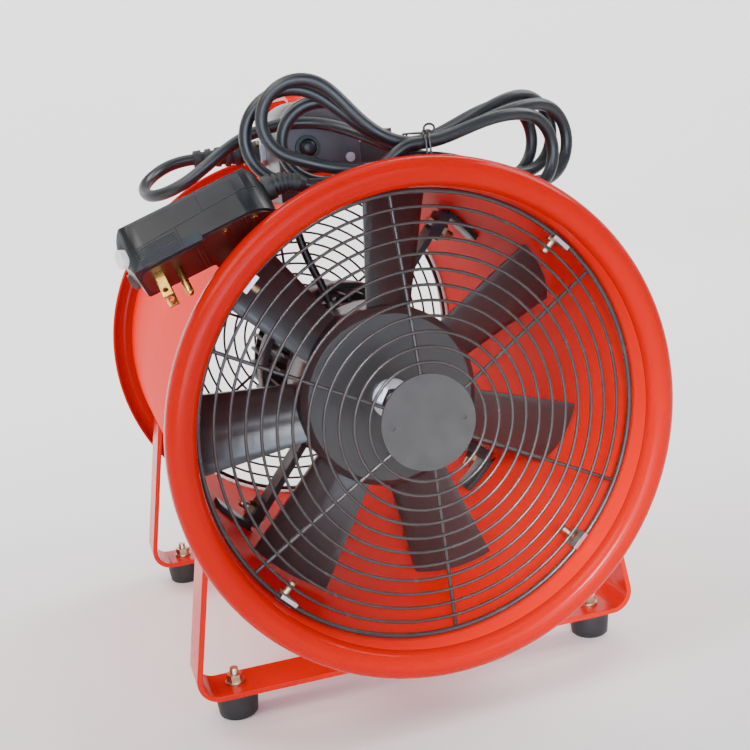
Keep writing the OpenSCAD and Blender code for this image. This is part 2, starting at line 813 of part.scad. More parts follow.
module box_saddle() {
  left = box_left + 1;
  plate_l = ear_left + ear_w - left;
  back = box_back + 8;
  deep = box_depth - 18;
  foot_back = cable_fwd + 9;
  foot_deep = back + deep - foot_back;
  foot_tall = saddle_under - drum_out / 2 + 1;
  bore = 8;
  color(DARK) on_axis() difference() {
    union() {
      translate([left, saddle_under, back]) cube([plate_l, saddle_t, deep]);
      for (x = [left, ear_left - 8])
        translate([x, drum_out / 2, foot_back]) cube([saddle_foot, foot_tall, foot_deep]);
      translate([ear_left, box_floor - 1, back + deep - ear_deep]) cube([ear_w, 2 * ear_h, ear_deep]);
    }
    translate([0, 0, -drum_len / 2]) cylinder(r = drum_out + weld_gap, h = drum_len);
    at_toggle() {
      translate([-2 * ear_w, 0, -2 * ear_deep]) cube([4 * ear_w, 3 * ear_h, 4 * ear_deep]);
      translate([0, 1, 0]) rotate([90, 0, 0]) cylinder(d = toggle_d + 2 * seat_gap, h = bore + 1);
    }
  }
}

// On the ear's sloped top, its second axis along the toggle switch
module at_toggle() {
  translate([ear_left + ear_w / 2, box_floor + ear_h, box_front - 10 - ear_deep / 2])
    rotate([0, 0, ear_lean]) children();
}

module toggle_bushing() {
  bore = 8;
  well = toggle_up + bore - 2;
  color(ZINC) on_axis() at_toggle() rotate([-90, 0, 0]) {
    difference() {
      translate([0, 0, -bore]) cylinder(d = toggle_d, h = bore + toggle_up);
      translate([0, 0, toggle_up - well]) cylinder(r = ball_r + slide_gap, h = well + 1);
    }
    ring(toggle_d / 2 - weld_lap, toggle_d, 0.8);
    translate([0, 0, 0.8]) difference() {
      hex(1.4 * toggle_d, 2);
      translate([0, 0, -1]) cylinder(d = toggle_d - 2 * weld_lap, h = 4);
    }
  }
}

module toggle_lever() {
  color(ZINC) on_axis() at_toggle() translate([0, toggle_up - lever_deep, 0]) rotate([0, 0, lever_swing])
    rotate([-90, 0, 0]) {
      rotate([90, 0, 0]) cylinder(r = 0.72 * ball_r, h = 1.36 * ball_r, center = true);
      cylinder(d1 = 2, d2 = 2.8, h = lever_deep + lever_len - 1.5);
      translate([0, 0, lever_deep + lever_len - 1.5]) sphere(d = 3);
    }
}

module switch_box() {
  color(GREY) difference() {
    at_dome(box_back) difference() {
      linear_extrude(box_depth) dome(box_r, box_side);
      translate([0, 0, box_wall]) linear_extrude(box_depth) dome(box_r - box_wall, box_side - box_wall);
    }
    at_boot() rotate([0, 90, 0]) translate([0, 0, -1]) cylinder(r = cord_d / 2 + 1, h = box_wall + 2);
  }
}

module box_cover() {
  color(GREY) at_dome(box_front) difference() {
    linear_extrude(cover_t) dome(box_r + cover_rim, box_side);
    translate([-button_side, button_z - dome_mid, -1]) cylinder(d = button_d + 2 * key_gap, h = cover_t + 2);
  }
}

module cover_screws() {
  in = 6;
  color(ZINC) at_dome(cover_face) for (s = [-1, 1], h = [in - box_side, 0.62 * box_r])
    translate([s * (h > 0 ? 0.62 * box_r : box_r - in), h, 0]) difference() {
      cylinder(d = 6.4, h = 1.8);
      translate([-4, -0.5, 1]) cube([8, 1, 2]);
    }
}

module at_button(fwd) {
  on_axis() translate([-box_x - button_side, button_z, fwd]) children();
}

module switch_button() {
  out = bezel_t + button_out;
  rib_n = 4;
  rib = out / rib_n;
  color(DARK) at_button(cover_face) {
    rotate_extrude() polygon(concat([[0, -cover_t], [button_d / 2, -cover_t]],
      [for (k = [0 : rib_n - 1], p = [[0, 0.1], [0, 0.6], [-0.8, 0.85]])
        [button_d / 2 + p[0] - 0.5 * k, (k + p[1]) * rib]],
      [[0, out]]));
    translate([0, 0, -cover_t - 12]) cylinder(d = stem_d, h = 13);
  }
}

module button_bezel() {
  color(DARK) at_button(cover_face) ring(button_d / 2 + key_gap, bezel_d / 2, bezel_t);
}

module switch_body() {
  gap = button_travel + 1;
  color(DARK) at_button(box_front) mirror([0, 0, 1]) {
    ring(button_d / 2 + 2 * key_gap, button_d / 2 + 3, gap + 1);
    translate([0, 0, gap]) difference() {
      translate([-9, -9, 0]) cube([18, 18, 16]);
      translate([0, 0, -1]) cylinder(d = stem_d + 2 * slide_gap, h = 16);
    }
  }
}

module capacitor() {
  color(ZINC) on_axis() translate([-box_x, box_floor + box_wall + cap_r, box_back + box_wall])
    cylinder(r = cap_r, h = cap_len);
}

// Cord boot on the box's left side
module at_boot() {
  on_axis() translate([box_left, boot_up, boot_fwd]) children();
}

module boot_flange() {
  color(ZINC) at_boot() difference() {
    translate([-flange_t / 2, 0, 0]) rotate([0, 90, 0]) translate([0, 0, -flange_t / 2])
      round_plate(flange_w, flange_h, flange_t, 5);
    translate([-flange_t - 1, 0, 0]) rotate([0, 90, 0]) cylinder(r = boot_r + slide_gap, h = flange_t + 2);
  }
}

module flange_screws() {
  color(GOLD) at_boot() for (i = [-1, 1])
    translate([-flange_t, i * (flange_h / 2 - 2.8), i * (flange_w / 2 - 2.8)]) rotate([0, -90, 0])
      cylinder(d = 3.8, h = 1.6);
}

module cord_boot() {
  groove_n = 5;
  collar = flange_t + 5;
  pitch = (boot_len - collar) / (groove_n + 1);
  slope = (boot_r - boot_tip_r) / (boot_len - collar);
  color(DARK) at_boot() rotate([0, -90, 0]) rotate_extrude() polygon(concat(
    [[0, 0], [boot_r, 0], [boot_r, collar]],
    [for (k = [1 : groove_n], p = [[0, -1.6], [-1.5, -1.6], [-1.5, 1.6], [0, 1.6]])
      [boot_r - slope * k * pitch + p[0], collar + k * pitch + p[1]]],
    [[boot_tip_r, boot_len], [0, boot_len]]));
}

// Supply cord
function spline(p, i, t) =
  let (a = p[max(i - 1, 0)], b = p[i], c = p[i + 1], d = p[min(i + 2, len(p) - 1)])
  b + t * (c - a) / 2 + t * t * (a - 2.5 * b + 2 * c - d / 2) + t * t * t * (1.5 * (b - c) + (d - a) / 2);

function route(p, n) = concat(
  [for (i = [0 : len(p) - 2], k = [0 : n - 1]) spline(p, i, k / n)],
  [p[len(p) - 1]]);

function unit(v) = v / norm(v);

function tangent(p, i) = unit(p[min(i + 1, len(p) - 1)] - p[max(i - 1, 0)]);

// Rings of points round a path, turned about a direction that the path never follows
function tube_points(p, sides, aside) = [for (i = [0 : len(p) - 1])
  let (t = tangent(p, i), u = unit(cross(aside, t)), v = cross(t, u))
    for (k = [0 : sides - 1]) p[i] + cord_d / 2 * (cos(k * 360 / sides) * u + sin(k * 360 / sides) * v)];

function tube_faces(n, sides) = concat(
  [for (k = [1 : sides - 2]) [0, k, k + 1]],
  [for (k = [1 : sides - 2]) [(n - 1) * sides, (n - 1) * sides + k + 1, (n - 1) * sides + k]],
  [for (i = [0 : n - 2], k = [0 : sides - 1], h = [0, 1])
    let (a = i * sides + k, b = i * sides + (k + 1) % sides)
      h == 0 ? [a, a + sides, b] : [b, a + sides, b + sides]]);

module tube(p, sides, aside) {
  translate([0, 0, axis_h])
    polyhedron(points = tube_points(p, sides, aside), faces = tube_faces(len(p), sides));
}

// A half-turn of the hank runs from the waist out along one side, round its end and back
function smooth(f) = let (g = max(0, min(1, f))) g * g * (3 - 2 * g);

function ease(f) = (1 - cos(180 * f)) / 2;

function half_turn(s, reach, end_r) =
  let (mid = reach - end_r, side = s < 0.5 ? -1 : 1, q = min(s, 1 - s) / hank_run,
    a = 180 * (s - hank_run) / (1 - 2 * hank_run))
  q < 1 ? [mid * q, side * (waist_half + (end_r - waist_half) * smooth(q))]
    : [mid + end_r * sin(a), -end_r * cos(a)];

// The low runs carry the cord one step forward, the high runs and the ends stay in their plane
function hank_point(q) =
  let (i = min(half_turns - 1, floor(q)), s = q - i, right = i % 2 == 0, k = floor(i / 2),
    loop = right ? right_loops[k] : left_loops[k],
    p = half_turn(s, loop[0], loop[1]),
    up = right ? p[1] : -p[1],
    turn = loop[2] * smooth(p[0] / (loop[0] - loop[1])),
    out = p[0] * cos(turn) - up * sin(turn),
    low = right ? s < 0.5 : s >= 0.5,
    f = min(1, p[0] / climb_run) / 2,
    step = !low ? k + 1 : right ? k + ease(0.5 + f) : k + 1 + ease(0.5 - f))
  [waist[0] + (right ? out : -out),
    waist[1] - hank_step * step + hank_lean * pow(out / 100, 2),
    waist[2] + p[0] * sin(turn) + up * cos(turn)];

hank_first = 0.1;
hank_last = half_turns;
hank_a = hank_point(hank_first);
hank_b = hank_point(hank_last);
hank_a_way = unit(hank_point(hank_first + 0.01) - hank_a);
hank_b_way = unit(hank_b - hank_point(hank_last - 0.01));
hank_in = hank_a - cord_d * hank_a_way;
hank_out = hank_b + cord_d * hank_b_way;
ring_n_hank = 108;
hank_long = hank_last - hank_first;
hank_path = concat([hank_in],
  [for (k = [0 : ring_n_hank]) hank_point(hank_first + hank_long * k / ring_n_hank)], [hank_out]);

// Least gap between stretches of the hank that are not neighbours along it
gap_n = 420;
gap_points = [for (k = [0 : gap_n]) hank_point(hank_first + hank_long * k / gap_n)];
hank_apart = [for (i = [0 : gap_n], j = [i + 12 : 1 : gap_n]) norm(gap_points[i] - gap_points[j])];
hank_gap = min(hank_apart) - cord_d;
echo(hank_gap = hank_gap);

module cord_box_lead() {
  color(DARK) tube(concat(route(box_route, 2), [hank_in - 4 * hank_a_way, hank_in]), 10, [0, 0, 1]);
}

module cord_hank() {
  color(DARK) tube(hank_path, 6, [0, 1, 0]);
}

module cord_plug_lead() {
  back = [for (i = [len(plug_route) - 1 : -1 : 0]) plug_route[i]];
  color(DARK) tube(concat([hank_out, hank_out + 4 * hank_b_way], route(back, 2)), 10, [0, 0, 1]);
}

module cord_tie() {
  wire = 1.6;
  slack = 1;
  deep = 4 * hank_step + cord_d + 2 * slack;
  tall = 2 * waist_half + cord_d + 2 * slack;
  mid = waist - [0, 2.15 * hank_step, 0];
  color(ZINC) translate([mid[0] - wire / 2, mid[1], axis_h + mid[2]]) rotate([0, 90, 0]) difference() {
    round_plate(tall + 2 * wire, deep + 2 * wire, wire, 4 + wire);
    translate([0, 0, -1]) round_plate(tall, deep, wire + 2, 4);
  }
}

// Plug, along its own X from the keys to the cord, its flat blades pointing down
module at_plug() {
  translate(plug_end + [0, 0, axis_h]) rotate(plug_turn) translate([-plug_half, 0, -relief_up]) children();
}

function arc(mid, r, from, to) = [for (k = [0 : 8])
  let (a = from + (to - from) * k / 8) mid + r * [cos(a), sin(a)]];

// From the side: the keyed end, on the left, leans out
module plug_profile() {
  near = plug_corner - 2;
  far = plug_corner - 4;
  polygon(concat([[-plug_half, plug_low], [plug_half, plug_low]],
    arc([plug_half - far, plug_up - far], far, 0, 90),
    arc([near - plug_half - plug_nose, plug_up - near], near, 90, 180)));
}

// The plate is wide under the cord's end and narrow round the blades
module plate_outline(grow) {
  wide = plug_w / 2 - 2 + grow;
  slim = plug_w / 2 - 7 + grow;
  intersection() {
    translate([0, 0, plug_low - 5])
      round_plate(plug_len - 4 + 2 * grow, 2 * wide, plug_tall, plug_corner - 2);
    translate([0, 0, plug_low - 6]) linear_extrude(plug_tall) polygon([
      [-plug_half, -slim], [-4, -slim], [4, -wide - 1], [plug_half, -wide - 1],
      [plug_half, wide + 1], [4, wide + 1], [-4, slim], [-plug_half, slim]]);
  }
}

// On the rounded end, its third axis out of the plug
module at_key(side) {
  mid = [plug_corner - plug_half - plug_nose, side * (plug_w / 2 - plug_corner), key_up];
  translate(mid) rotate([0, 0, 180 - side * key_turn]) translate([plug_corner, 0, 0])
    rotate([0, 90, 0]) children();
}

module plug_shell() {
  pocket = key_in + key_travel + 0.5;
  deep = plug_tall + 2 * plug_edge;
  nose = plug_half + plug_nose;
  color(DARK) at_plug() difference() {
    intersection() {
      translate([-plug_nose / 2, 0, plug_low])
        round_plate(plug_len + plug_nose, plug_w, plug_tall, plug_corner);
      translate([0, plug_w / 2, 0]) rotate([90, 0, 0]) linear_extrude(plug_w) plug_profile();
      translate([-nose, 0, plug_up - deep / 2]) rotate([90, 0, 90])
        round_plate(plug_w, deep, nose + plug_half, plug_edge);
    }
    for (s = [-1, 1]) {
      at_key(s) translate([0, 0, -pocket]) key_shape(2 * key_gap, 2 * pocket);
      translate([-nose - 1, s * plug_w / 2, plug_low]) rotate([45, 0, 0]) translate([0, -3, -3])
        cube([nose, 6, 6]);
    }
    intersection() {
      plate_outline(weld_gap);
      translate([-plug_len, -plug_w, plug_low - 3])
        cube([2 * plug_len, 2 * plug_w, plate_up - plug_low + 3 + weld_gap]);
    }
  }
}

module key_shape(grow, h) {
  round_plate(key_tall + grow, key_wide + grow, h, (key_wide + grow) / 2 - 0.1);
}

module plug_base() {
  color(BROWN) at_plug() difference() {
    intersection() {
      plate_outline(0);
      translate([-plug_len, -plug_w, plug_under]) cube([2 * plug_len, 2 * plug_w, plug_base_t]);
    }
    for (k = [0 : 4]) translate([18 + 2.4 * k, -plug_w, plug_under - 1]) cube([1, 2 * plug_w, 1.6]);
    for (k = [0 : 2]) translate([2.4 * k - 8, -plug_w, plug_under - 1]) cube([1, 2 * plug_w, 1.6]);
  }
}

module plug_blades() {
  color(GOLD) at_plug() for (s = [-1, 1])
    translate([prong_x - prong_w / 2, s * blade_gap / 2 - prong_t / 2, plug_under - prong_len]) difference() {
      cube([prong_w, prong_t, prong_len]);
      translate([prong_w / 2, -1, 4.5]) rotate([-90, 0, 0]) cylinder(d = 3.2, h = prong_t + 2);
    }
}

module plug_pin() {
  color(GOLD) at_plug() translate([pin_x, 0, plug_under - pin_len]) {
    translate([0, 0, pin_d / 2]) cylinder(d = pin_d, h = pin_len - pin_d / 2);
    translate([0, 0, pin_d / 2]) sphere(d = pin_d);
  }
}

module plug_screws() {
  color(GOLD) at_plug() for (x = [13, 32], s = [-1, 1])
    translate([x, s * (plug_w / 2 - 7), plug_under - 1]) cylinder(d = 4.5, h = 1);
}

// The relief's bend lies upright, so the plug's roll is taken back
module plug_relief() {
  core = cord_d / 2 + 1.4;
  rib_n = 5;
  color(DARK) at_plug() translate([plug_half, 0, relief_up]) rotate([-plug_turn[0], 0, 0]) {
    rotate([0, 90, 0]) cylinder(r = core + 2.4, h = relief_collar + weld_lap);
    translate([relief_collar, 0, -relief_bend]) rotate([90, 0, 0]) {
      rotate([0, 0, 90 - relief_turn]) rotate_extrude(angle = relief_turn)
        translate([relief_bend, 0]) circle(r = core);
      for (k = [1 : rib_n]) rotate([0, 0, -k * relief_turn / (rib_n + 1)]) translate([0, relief_bend, 0])
        rotate([0, 90, 0]) translate([0, 0, -1]) cylinder(r = core + 1.8 - 0.28 * k, h = 1.6);
      rotate([0, 0, 90 - relief_turn]) translate([relief_bend, weld_lap, 0]) rotate([90, 0, 0])
        cylinder(r1 = core + 0.4, r2 = cord_d / 2 + 0.5, h = relief_end + weld_lap);
    }
  }
}

module key(side) {
  at_plug() at_key(side) translate([0, 0, -key_in]) key_shape(0, key_in + key_out);
}

module reset_key() {
  color("white") key(-1);
}

module test_key() {
  color(BROWN) key(1);
}

drum();
front_lip();
rear_lip();
front_strap();
rear_strap();
feet();
foot_studs();
front_guard();
rear_guard();
guard_clips();
guard_bolts();
impeller();
hub_washer();
shaft_nut();
shaft();
rotor();
motor_frame();
front_bell();
rear_bell();
stator();
windings();
front_bearing();
rear_bearing();
motor_carrier();
arm_tabs();
arm_bolts();
motor_cable();
cable_grommet();
handle();
box_saddle();
switch_box();
box_cover();
cover_screws();
switch_button();
button_bezel();
switch_body();
capacitor();
toggle_bushing();
toggle_lever();
boot_flange();
flange_screws();
cord_boot();
cord_box_lead();
cord_hank();
cord_plug_lead();
cord_tie();
plug_shell();
plug_base();
plug_blades();
plug_pin();
plug_screws();
plug_relief();
reset_key();
test_key();
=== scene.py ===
"""Looks of a portable axial ventilator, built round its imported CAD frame.

Metres, in the CAD's own frame: the front faces -Y, X is right seen from the front, Z is up.
"""

import logging
import math
from dataclasses import dataclass, field
from enum import Enum

import bmesh
import bpy
from mathutils import Matrix, Vector


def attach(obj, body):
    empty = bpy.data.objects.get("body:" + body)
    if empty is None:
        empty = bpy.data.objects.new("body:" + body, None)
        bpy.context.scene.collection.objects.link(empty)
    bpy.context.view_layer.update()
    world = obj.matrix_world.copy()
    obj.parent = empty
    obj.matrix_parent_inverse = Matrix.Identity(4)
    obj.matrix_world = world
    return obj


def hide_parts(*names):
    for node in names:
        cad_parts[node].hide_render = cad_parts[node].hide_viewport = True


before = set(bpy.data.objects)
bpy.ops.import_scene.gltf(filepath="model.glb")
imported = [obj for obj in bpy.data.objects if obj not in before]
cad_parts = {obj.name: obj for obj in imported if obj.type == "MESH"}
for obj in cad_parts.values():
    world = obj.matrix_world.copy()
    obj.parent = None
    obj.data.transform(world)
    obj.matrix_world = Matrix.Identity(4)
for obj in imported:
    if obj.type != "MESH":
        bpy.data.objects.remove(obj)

log = logging.getLogger("ventilator")

MM = 0.001
AXIS_H = 204 * MM

# Sockets of the colour mix node: its two colours and its result
MIX_FIRST, MIX_SECOND, MIX_RESULT = 6, 7, 2
# Most of a noise pattern's values lie in this span
NOISE_SPAN = {"From Min": 0.3, "From Max": 0.7}
PATCH_DETAIL = 3.0
SPECK_MM, SPECK_DETAIL = 1.5, 4.0
# Height of the normal from which dust begins to lie
DUST_FROM = 0.2
# Rounding of CAD edges: what is welded first, how many steps, and which edges count as sharp
WELD_MM, BEVEL_STEPS, SHARP_DEG = 0.004, 2, 40

Point = tuple[float, float, float]
Rgba = tuple[float, float, float, float]


class Body(Enum):
    """The CAD body that new pieces ride on."""

    HOUSING = "housing"


class Grain(Enum):
    """Fine relief of a surface, by how it was made: bump strength and octaves of noise."""

    SPRAYED = (0.10, 1.0)
    MOULDED = (0.22, 3.0)
    CAST = (0.35, 4.0)
    DRAWN = (0.08, 2.0)
    PLATED = (0.05, 2.0)


def linear(hex_colour: str) -> Rgba:
    """Turns an sRGB hex colour into linear light.

    Args:
        hex_colour: six hex digits after a hash.

    Returns:
        Linear red, green, blue and an alpha of one.
    """
    parts = [int(hex_colour[i:i + 2], 16) / 255 for i in (1, 3, 5)]
    light = [c / 12.92 if c <= 0.04045 else ((c + 0.055) / 1.055) ** 2.4 for c in parts]
    return (light[0], light[1], light[2], 1.0)


def add(tree: bpy.types.NodeTree, kind: str, settings: dict, **links: bpy.types.NodeSocket) -> bpy.types.Node:
    """Adds a shader node with its settings and what feeds it.

    Args:
        tree: the material's node tree.
        kind: Blender's name of the node type.
        settings: values by property name, or by input name or number.
        links: sockets by the input name they feed, spaces written as underscores, or in_N by number.

    Returns:
        The new node.
    """
    node = tree.nodes.new(kind)
    for key, value in settings.items():
        if isinstance(key, str) and hasattr(node, key):
            setattr(node, key, value)
        else:
            node.inputs[key].default_value = value
    for key, socket in links.items():
        name = int(key[3:]) if key.startswith("in_") else key.replace("_", " ")
        tree.links.new(socket, node.inputs[name])
    return node


def noise(tree: bpy.types.NodeTree, place: bpy.types.NodeSocket, size_mm: float,
          detail: float) -> bpy.types.NodeSocket:
    """Adds a noise pattern of a real size.

    Args:
        tree: the material's node tree.
        place: the surface's own coordinates.
        size_mm: size of its largest patches.
        detail: octaves of finer noise.

    Returns:
        Its value.
    """
    pattern = add(tree, "ShaderNodeTexNoise", {"Scale": 1 / (size_mm * MM), "Detail": detail}, Vector=place)
    return pattern.outputs["Fac"]


@dataclass(frozen=True)
class Finish:
    """A surface as its maker would describe it.

    Attributes:
        name: the real material and how it was made.
        slot: the record's material slot; not used.
        colour: main colour.
        drift: colour that soft patches drift to.
        patch_mm: size of those patches.
        rough: middle roughness.
        rough_span: how far roughness wanders either side.
        grain: how the fine relief was made.
        grain_mm: size of that relief.
        relief_mm: depth of that relief.
        metallic: one for bare metal.
        ior: index of refraction of a non-metal.
        shine: how much of the plain reflection is left under dust and handling, 0.5 for all of it.
        dust: colour of the dust that settles on what faces up.
        dust_share: most of the colour that dust takes.
    """

    name: str
    slot: str
    colour: str
    drift: str
    patch_mm: float
    rough: float
    rough_span: float
    grain: Grain
    grain_mm: float
    relief_mm: float
    metallic: float = 0.0
    ior: float = 1.5
    shine: float = 0.5
    dust: str = "#b9b2a8"
    dust_share: float = 0.0

    def material(self) -> bpy.types.Material:
        """Builds the node material once and hands out the same one after that.

        Returns:
            The material.
        """
        known = bpy.data.materials.get(self.name)
        if known:
            return known
        made = bpy.data.materials.new(self.name)
        made.use_nodes = True
        tree = made.node_tree
        shader = tree.nodes["Principled BSDF"]
        place = add(tree, "ShaderNodeTexCoord", {}).outputs["Object"]
        patches = noise(tree, place, self.patch_mm, PATCH_DETAIL)
        share = add(tree, "ShaderNodeMapRange", NOISE_SPAN, Value=patches)
        tint = add(tree, "ShaderNodeMix",
                   {"data_type": "RGBA", MIX_FIRST: linear(self.colour), MIX_SECOND: linear(self.drift)},
                   in_0=share.outputs["Result"])
        colour = tint.outputs[MIX_RESULT]
        if self.dust_share:
            colour = self.dusted(tree, place, colour)
        tree.links.new(colour, shader.inputs["Base Color"])
        wander = add(tree, "ShaderNodeMapRange",
                     {**NOISE_SPAN, "To Min": self.rough - self.rough_span,
                      "To Max": self.rough + self.rough_span}, Value=patches)
        tree.links.new(wander.outputs["Result"], shader.inputs["Roughness"])
        strength, octaves = self.grain.value
        relief = noise(tree, place, self.grain_mm, octaves)
        bump = add(tree, "ShaderNodeBump", {"Strength": strength, "Distance": self.relief_mm * MM},
                   Height=relief)
        tree.links.new(bump.outputs["Normal"], shader.inputs["Normal"])
        shader.inputs["Metallic"].default_value = self.metallic
        if not self.metallic:
            shader.inputs["IOR"].default_value = self.ior
            shader.inputs["Specular IOR Level"].default_value = self.shine
        return made

    def dusted(self, tree: bpy.types.NodeTree, place: bpy.types.NodeSocket,
               colour: bpy.types.NodeSocket) -> bpy.types.NodeSocket:
        """Lets a thin film of dust settle in specks on what faces up.

        Args:
            tree: the material's node tree.
            place: the surface's own coordinates.
            colour: the clean colour.

        Returns:
            The dusted colour.
        """
        specks = noise(tree, place, SPECK_MM, SPECK_DETAIL)
        facing = add(tree, "ShaderNodeSeparateXYZ", {},
                     Vector=add(tree, "ShaderNodeNewGeometry", {}).outputs["Normal"])
        upward = add(tree, "ShaderNodeMapRange",
                     {"From Min": DUST_FROM, "From Max": 1.0, "To Max": self.dust_share},
                     Value=facing.outputs["Z"])
        film = add(tree, "ShaderNodeMath", {"operation": "MULTIPLY"}, in_0=specks,
                   in_1=upward.outputs["Result"])
        mixed = add(tree, "ShaderNodeMix", {"data_type": "RGBA", MIX_SECOND: linear(self.dust)},
                    in_0=film.outputs["Value"], in_6=colour)
        return mixed.outputs[MIX_RESULT]


# Sprayed and baked enamel on steel: a soft gloss over an orange peel of about 2 mm
RED_ENAMEL = Finish("enamel_sprayed_red_orange", "red_paint", "#d01102", "#c91002", 60, 0.22, 0.03,
                    Grain.SPRAYED, 2.2, 0.10, shine=0.13)
# The same enamel on the rolled lips, its colour darkened to a deeper red as painted shade
RED_LIP_PAINTED_SHADE = Finish("enamel_red_orange_lip_painted_shade", "red_paint", "#ba0d02", "#b40c02", 60, 0.20, 0.03,
                 Grain.SPRAYED, 2.2, 0.10, shine=0.09)
# The same enamel on the plain sheet between the lips, its colour brightened as painted light, and with less
# gloss
RED_SHEET_PAINTED_LIGHT = Finish("enamel_thin_coat_red_orange", "red_paint", "#f41905", "#f01704", 90, 0.58, 0.02,
                  Grain.SPRAYED, 1.2, 0.12, shine=0.08)
# Moulded natural rubber: matt, slightly grey where it was handled
RUBBER = Finish("rubber_moulded_black", "black_rubber", "#161617", "#1f1f20", 9, 0.55, 0.08,
                Grain.MOULDED, 0.6, 0.10, ior=1.52, dust_share=0.05)
# Extruded PVC jacket: satin black with long soft highlights
CORD_PVC = Finish("pvc_extruded_black", "cord_jacket", "#17181a", "#1f2023", 14, 0.38, 0.06,
                  Grain.DRAWN, 0.9, 0.08, ior=1.53, dust_share=0.03)
# Zinc with a yellow passivation: pale gold that drifts to grey
YELLOW_ZINC = Finish("steel_yellow_passivated", "yellow_zinc", "#cdbf95", "#bdb29c", 3.0, 0.36, 0.06,
                     Grain.PLATED, 0.5, 0.03, metallic=1.0)
# Dip-coated steel wire: dark grey with a thin bright line along each wire
GREY_WIRE = Finish("steel_wire_dip_coated_grey", "grey_wire", "#2f2c2b", "#373332", 20, 0.24, 0.04,
                   Grain.DRAWN, 0.8, 0.03, ior=1.5)
# The guard's stamped centre plate in the same grey: flat, so the coat lies even and dries duller
GREY_PLATE = Finish("steel_plate_coated_grey", "grey_wire", "#322f2e", "#383534", 12, 0.42, 0.05,
                    Grain.SPRAYED, 1.0, 0.05)
# Bright zinc plate: pale blue-grey metal with a faint bloom
BRIGHT_ZINC = Finish("steel_zinc_plated", "bright_zinc", "#d2d5d9", "#b9bdc3", 4.0, 0.40, 0.06,
                     Grain.PLATED, 0.5, 0.01, metallic=1.0)
# Nickel-chrome plate on the nut: near mirror
CHROME = Finish("steel_chrome_plated", "nut_chrome", "#e4e5e7", "#d6d8db", 5.0, 0.16, 0.03,
                Grain.PLATED, 0.4, 0.003, metallic=1.0)
# Glass-filled nylon, injection moulded: charcoal satin with a fine sparked texture
BLADE_NYLON = Finish("nylon_moulded_charcoal", "impeller_plastic", "#343332", "#2e2d2c", 25, 0.31, 0.03,
                     Grain.MOULDED, 0.5, 0.03, ior=1.57)
# Turned steel: mid grey with a tool-mark sheen
TURNED_STEEL = Finish("steel_turned", "machined_steel", "#b3b4b6", "#9c9da0", 3.0, 0.30, 0.06,
                      Grain.DRAWN, 0.4, 0.03, metallic=1.0)
# Stacked core sheets with a blue-grey oxide
CORE_STEEL = Finish("steel_laminated_oxide", "core_steel", "#6c6e72", "#5a5c60", 2.0, 0.45, 0.08,
                    Grain.DRAWN, 0.35, 0.05, metallic=1.0)
# Brushed-on black enamel over castings: low gloss, a little lumpy
BLACK_ENAMEL = Finish("enamel_black_on_casting", "black_paint", "#1b1b1d", "#252527", 18, 0.44, 0.08,
                      Grain.CAST, 1.4, 0.15, dust_share=0.04)
# Enamelled copper wire: red-brown under clear varnish
COPPER = Finish("copper_enamelled_wire", "copper_wire", "#a5562a", "#8a431f", 3.0, 0.35, 0.08,
                Grain.DRAWN, 0.8, 0.20, metallic=1.0)
# Enamel on a die casting: dark grey, half gloss, with a faint lumpiness
BOX_ENAMEL = Finish("enamel_sprayed_dark_grey", "box_enamel", "#37343a", "#403d44", 22, 0.36, 0.06,
                    Grain.CAST, 1.2, 0.10, dust_share=0.03)
# ABS, injection moulded black: satin with a fine sparked texture
BLACK_ABS = Finish("abs_moulded_black", "black_plastic", "#17181a", "#1e1f22", 16, 0.36, 0.05,
                   Grain.MOULDED, 0.45, 0.05, ior=1.54, shine=0.35)
# Drawn aluminium can: pale, evenly dull metal
CAN_ALUMINIUM = Finish("aluminium_drawn", "can_aluminium", "#bfc1c4", "#adb0b4", 6.0, 0.34, 0.06,
                       Grain.DRAWN, 0.5, 0.03, metallic=1.0)
# Phenolic, moulded dark brown: a deep colour with a dull sheen
BROWN_PHENOLIC = Finish("phenolic_moulded_brown", "brown_plastic", "#3a120e", "#451712", 10, 0.40, 0.06,
                        Grain.MOULDED, 0.5, 0.05, ior=1.6)
# Stamped brass, slightly dulled
BRASS = Finish("brass_stamped", "plug_brass", "#cba459", "#b98f4a", 3.0, 0.26, 0.07,
               Grain.DRAWN, 0.5, 0.03, metallic=1.0)
# White ABS, injection moulded: bright and slightly glossy
WHITE_ABS = Finish("abs_moulded_white", "white_plastic", "#e9e7e2", "#dedbd4", 4.0, 0.34, 0.05,
                   Grain.MOULDED, 0.4, 0.03, ior=1.54)


def dress(finish: Finish, *names: str, edge_mm: float = 0.0) -> None:
    """Gives CAD nodes their finish, and rounds their sharp edges where asked.

    Args:
        finish: the finish.
        names: CAD nodes.
        edge_mm: radius of the rounding, none at zero.
    """
    for name in names:
        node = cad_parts[name]
        node.data.materials.clear()
        node.data.materials.append(finish.material())
        if edge_mm:
            soften(node, edge_mm)
        log.info("%s: %s", name, finish.name)


def soften(obj: bpy.types.Object, edge_mm: float) -> None:
    """Rounds an object's sharp edges with modifiers, leaving its own vertices alone.

    Args:
        obj: the object.
        edge_mm: radius of the rounding.
    """
    weld = obj.modifiers.new("weld", "WELD")
    weld.merge_threshold = WELD_MM * MM
    bevel = obj.modifiers.new("edges", "BEVEL")
    bevel.width = edge_mm * MM
    bevel.segments = BEVEL_STEPS
    bevel.limit_method = "ANGLE"
    bevel.angle_limit = math.radians(SHARP_DEG)
    bevel.harden_normals = True


def own(obj: bpy.types.Object, finish: Finish, body: Body, *stands_for: str) -> bpy.types.Object:
    """Finishes a new piece, sets it on a body and hides the CAD nodes that it stands for.

    Args:
        obj: the new piece, in place.
        finish: its finish.
        body: the body it rides on.
        stands_for: CAD nodes that it replaces.

    Returns:
        The piece.
    """
    obj.data.materials.append(finish.material())
    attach(obj, body.value)
    if stands_for:
        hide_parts(*stands_for)
    log.info("%s: %s", obj.name, finish.name)
    return obj


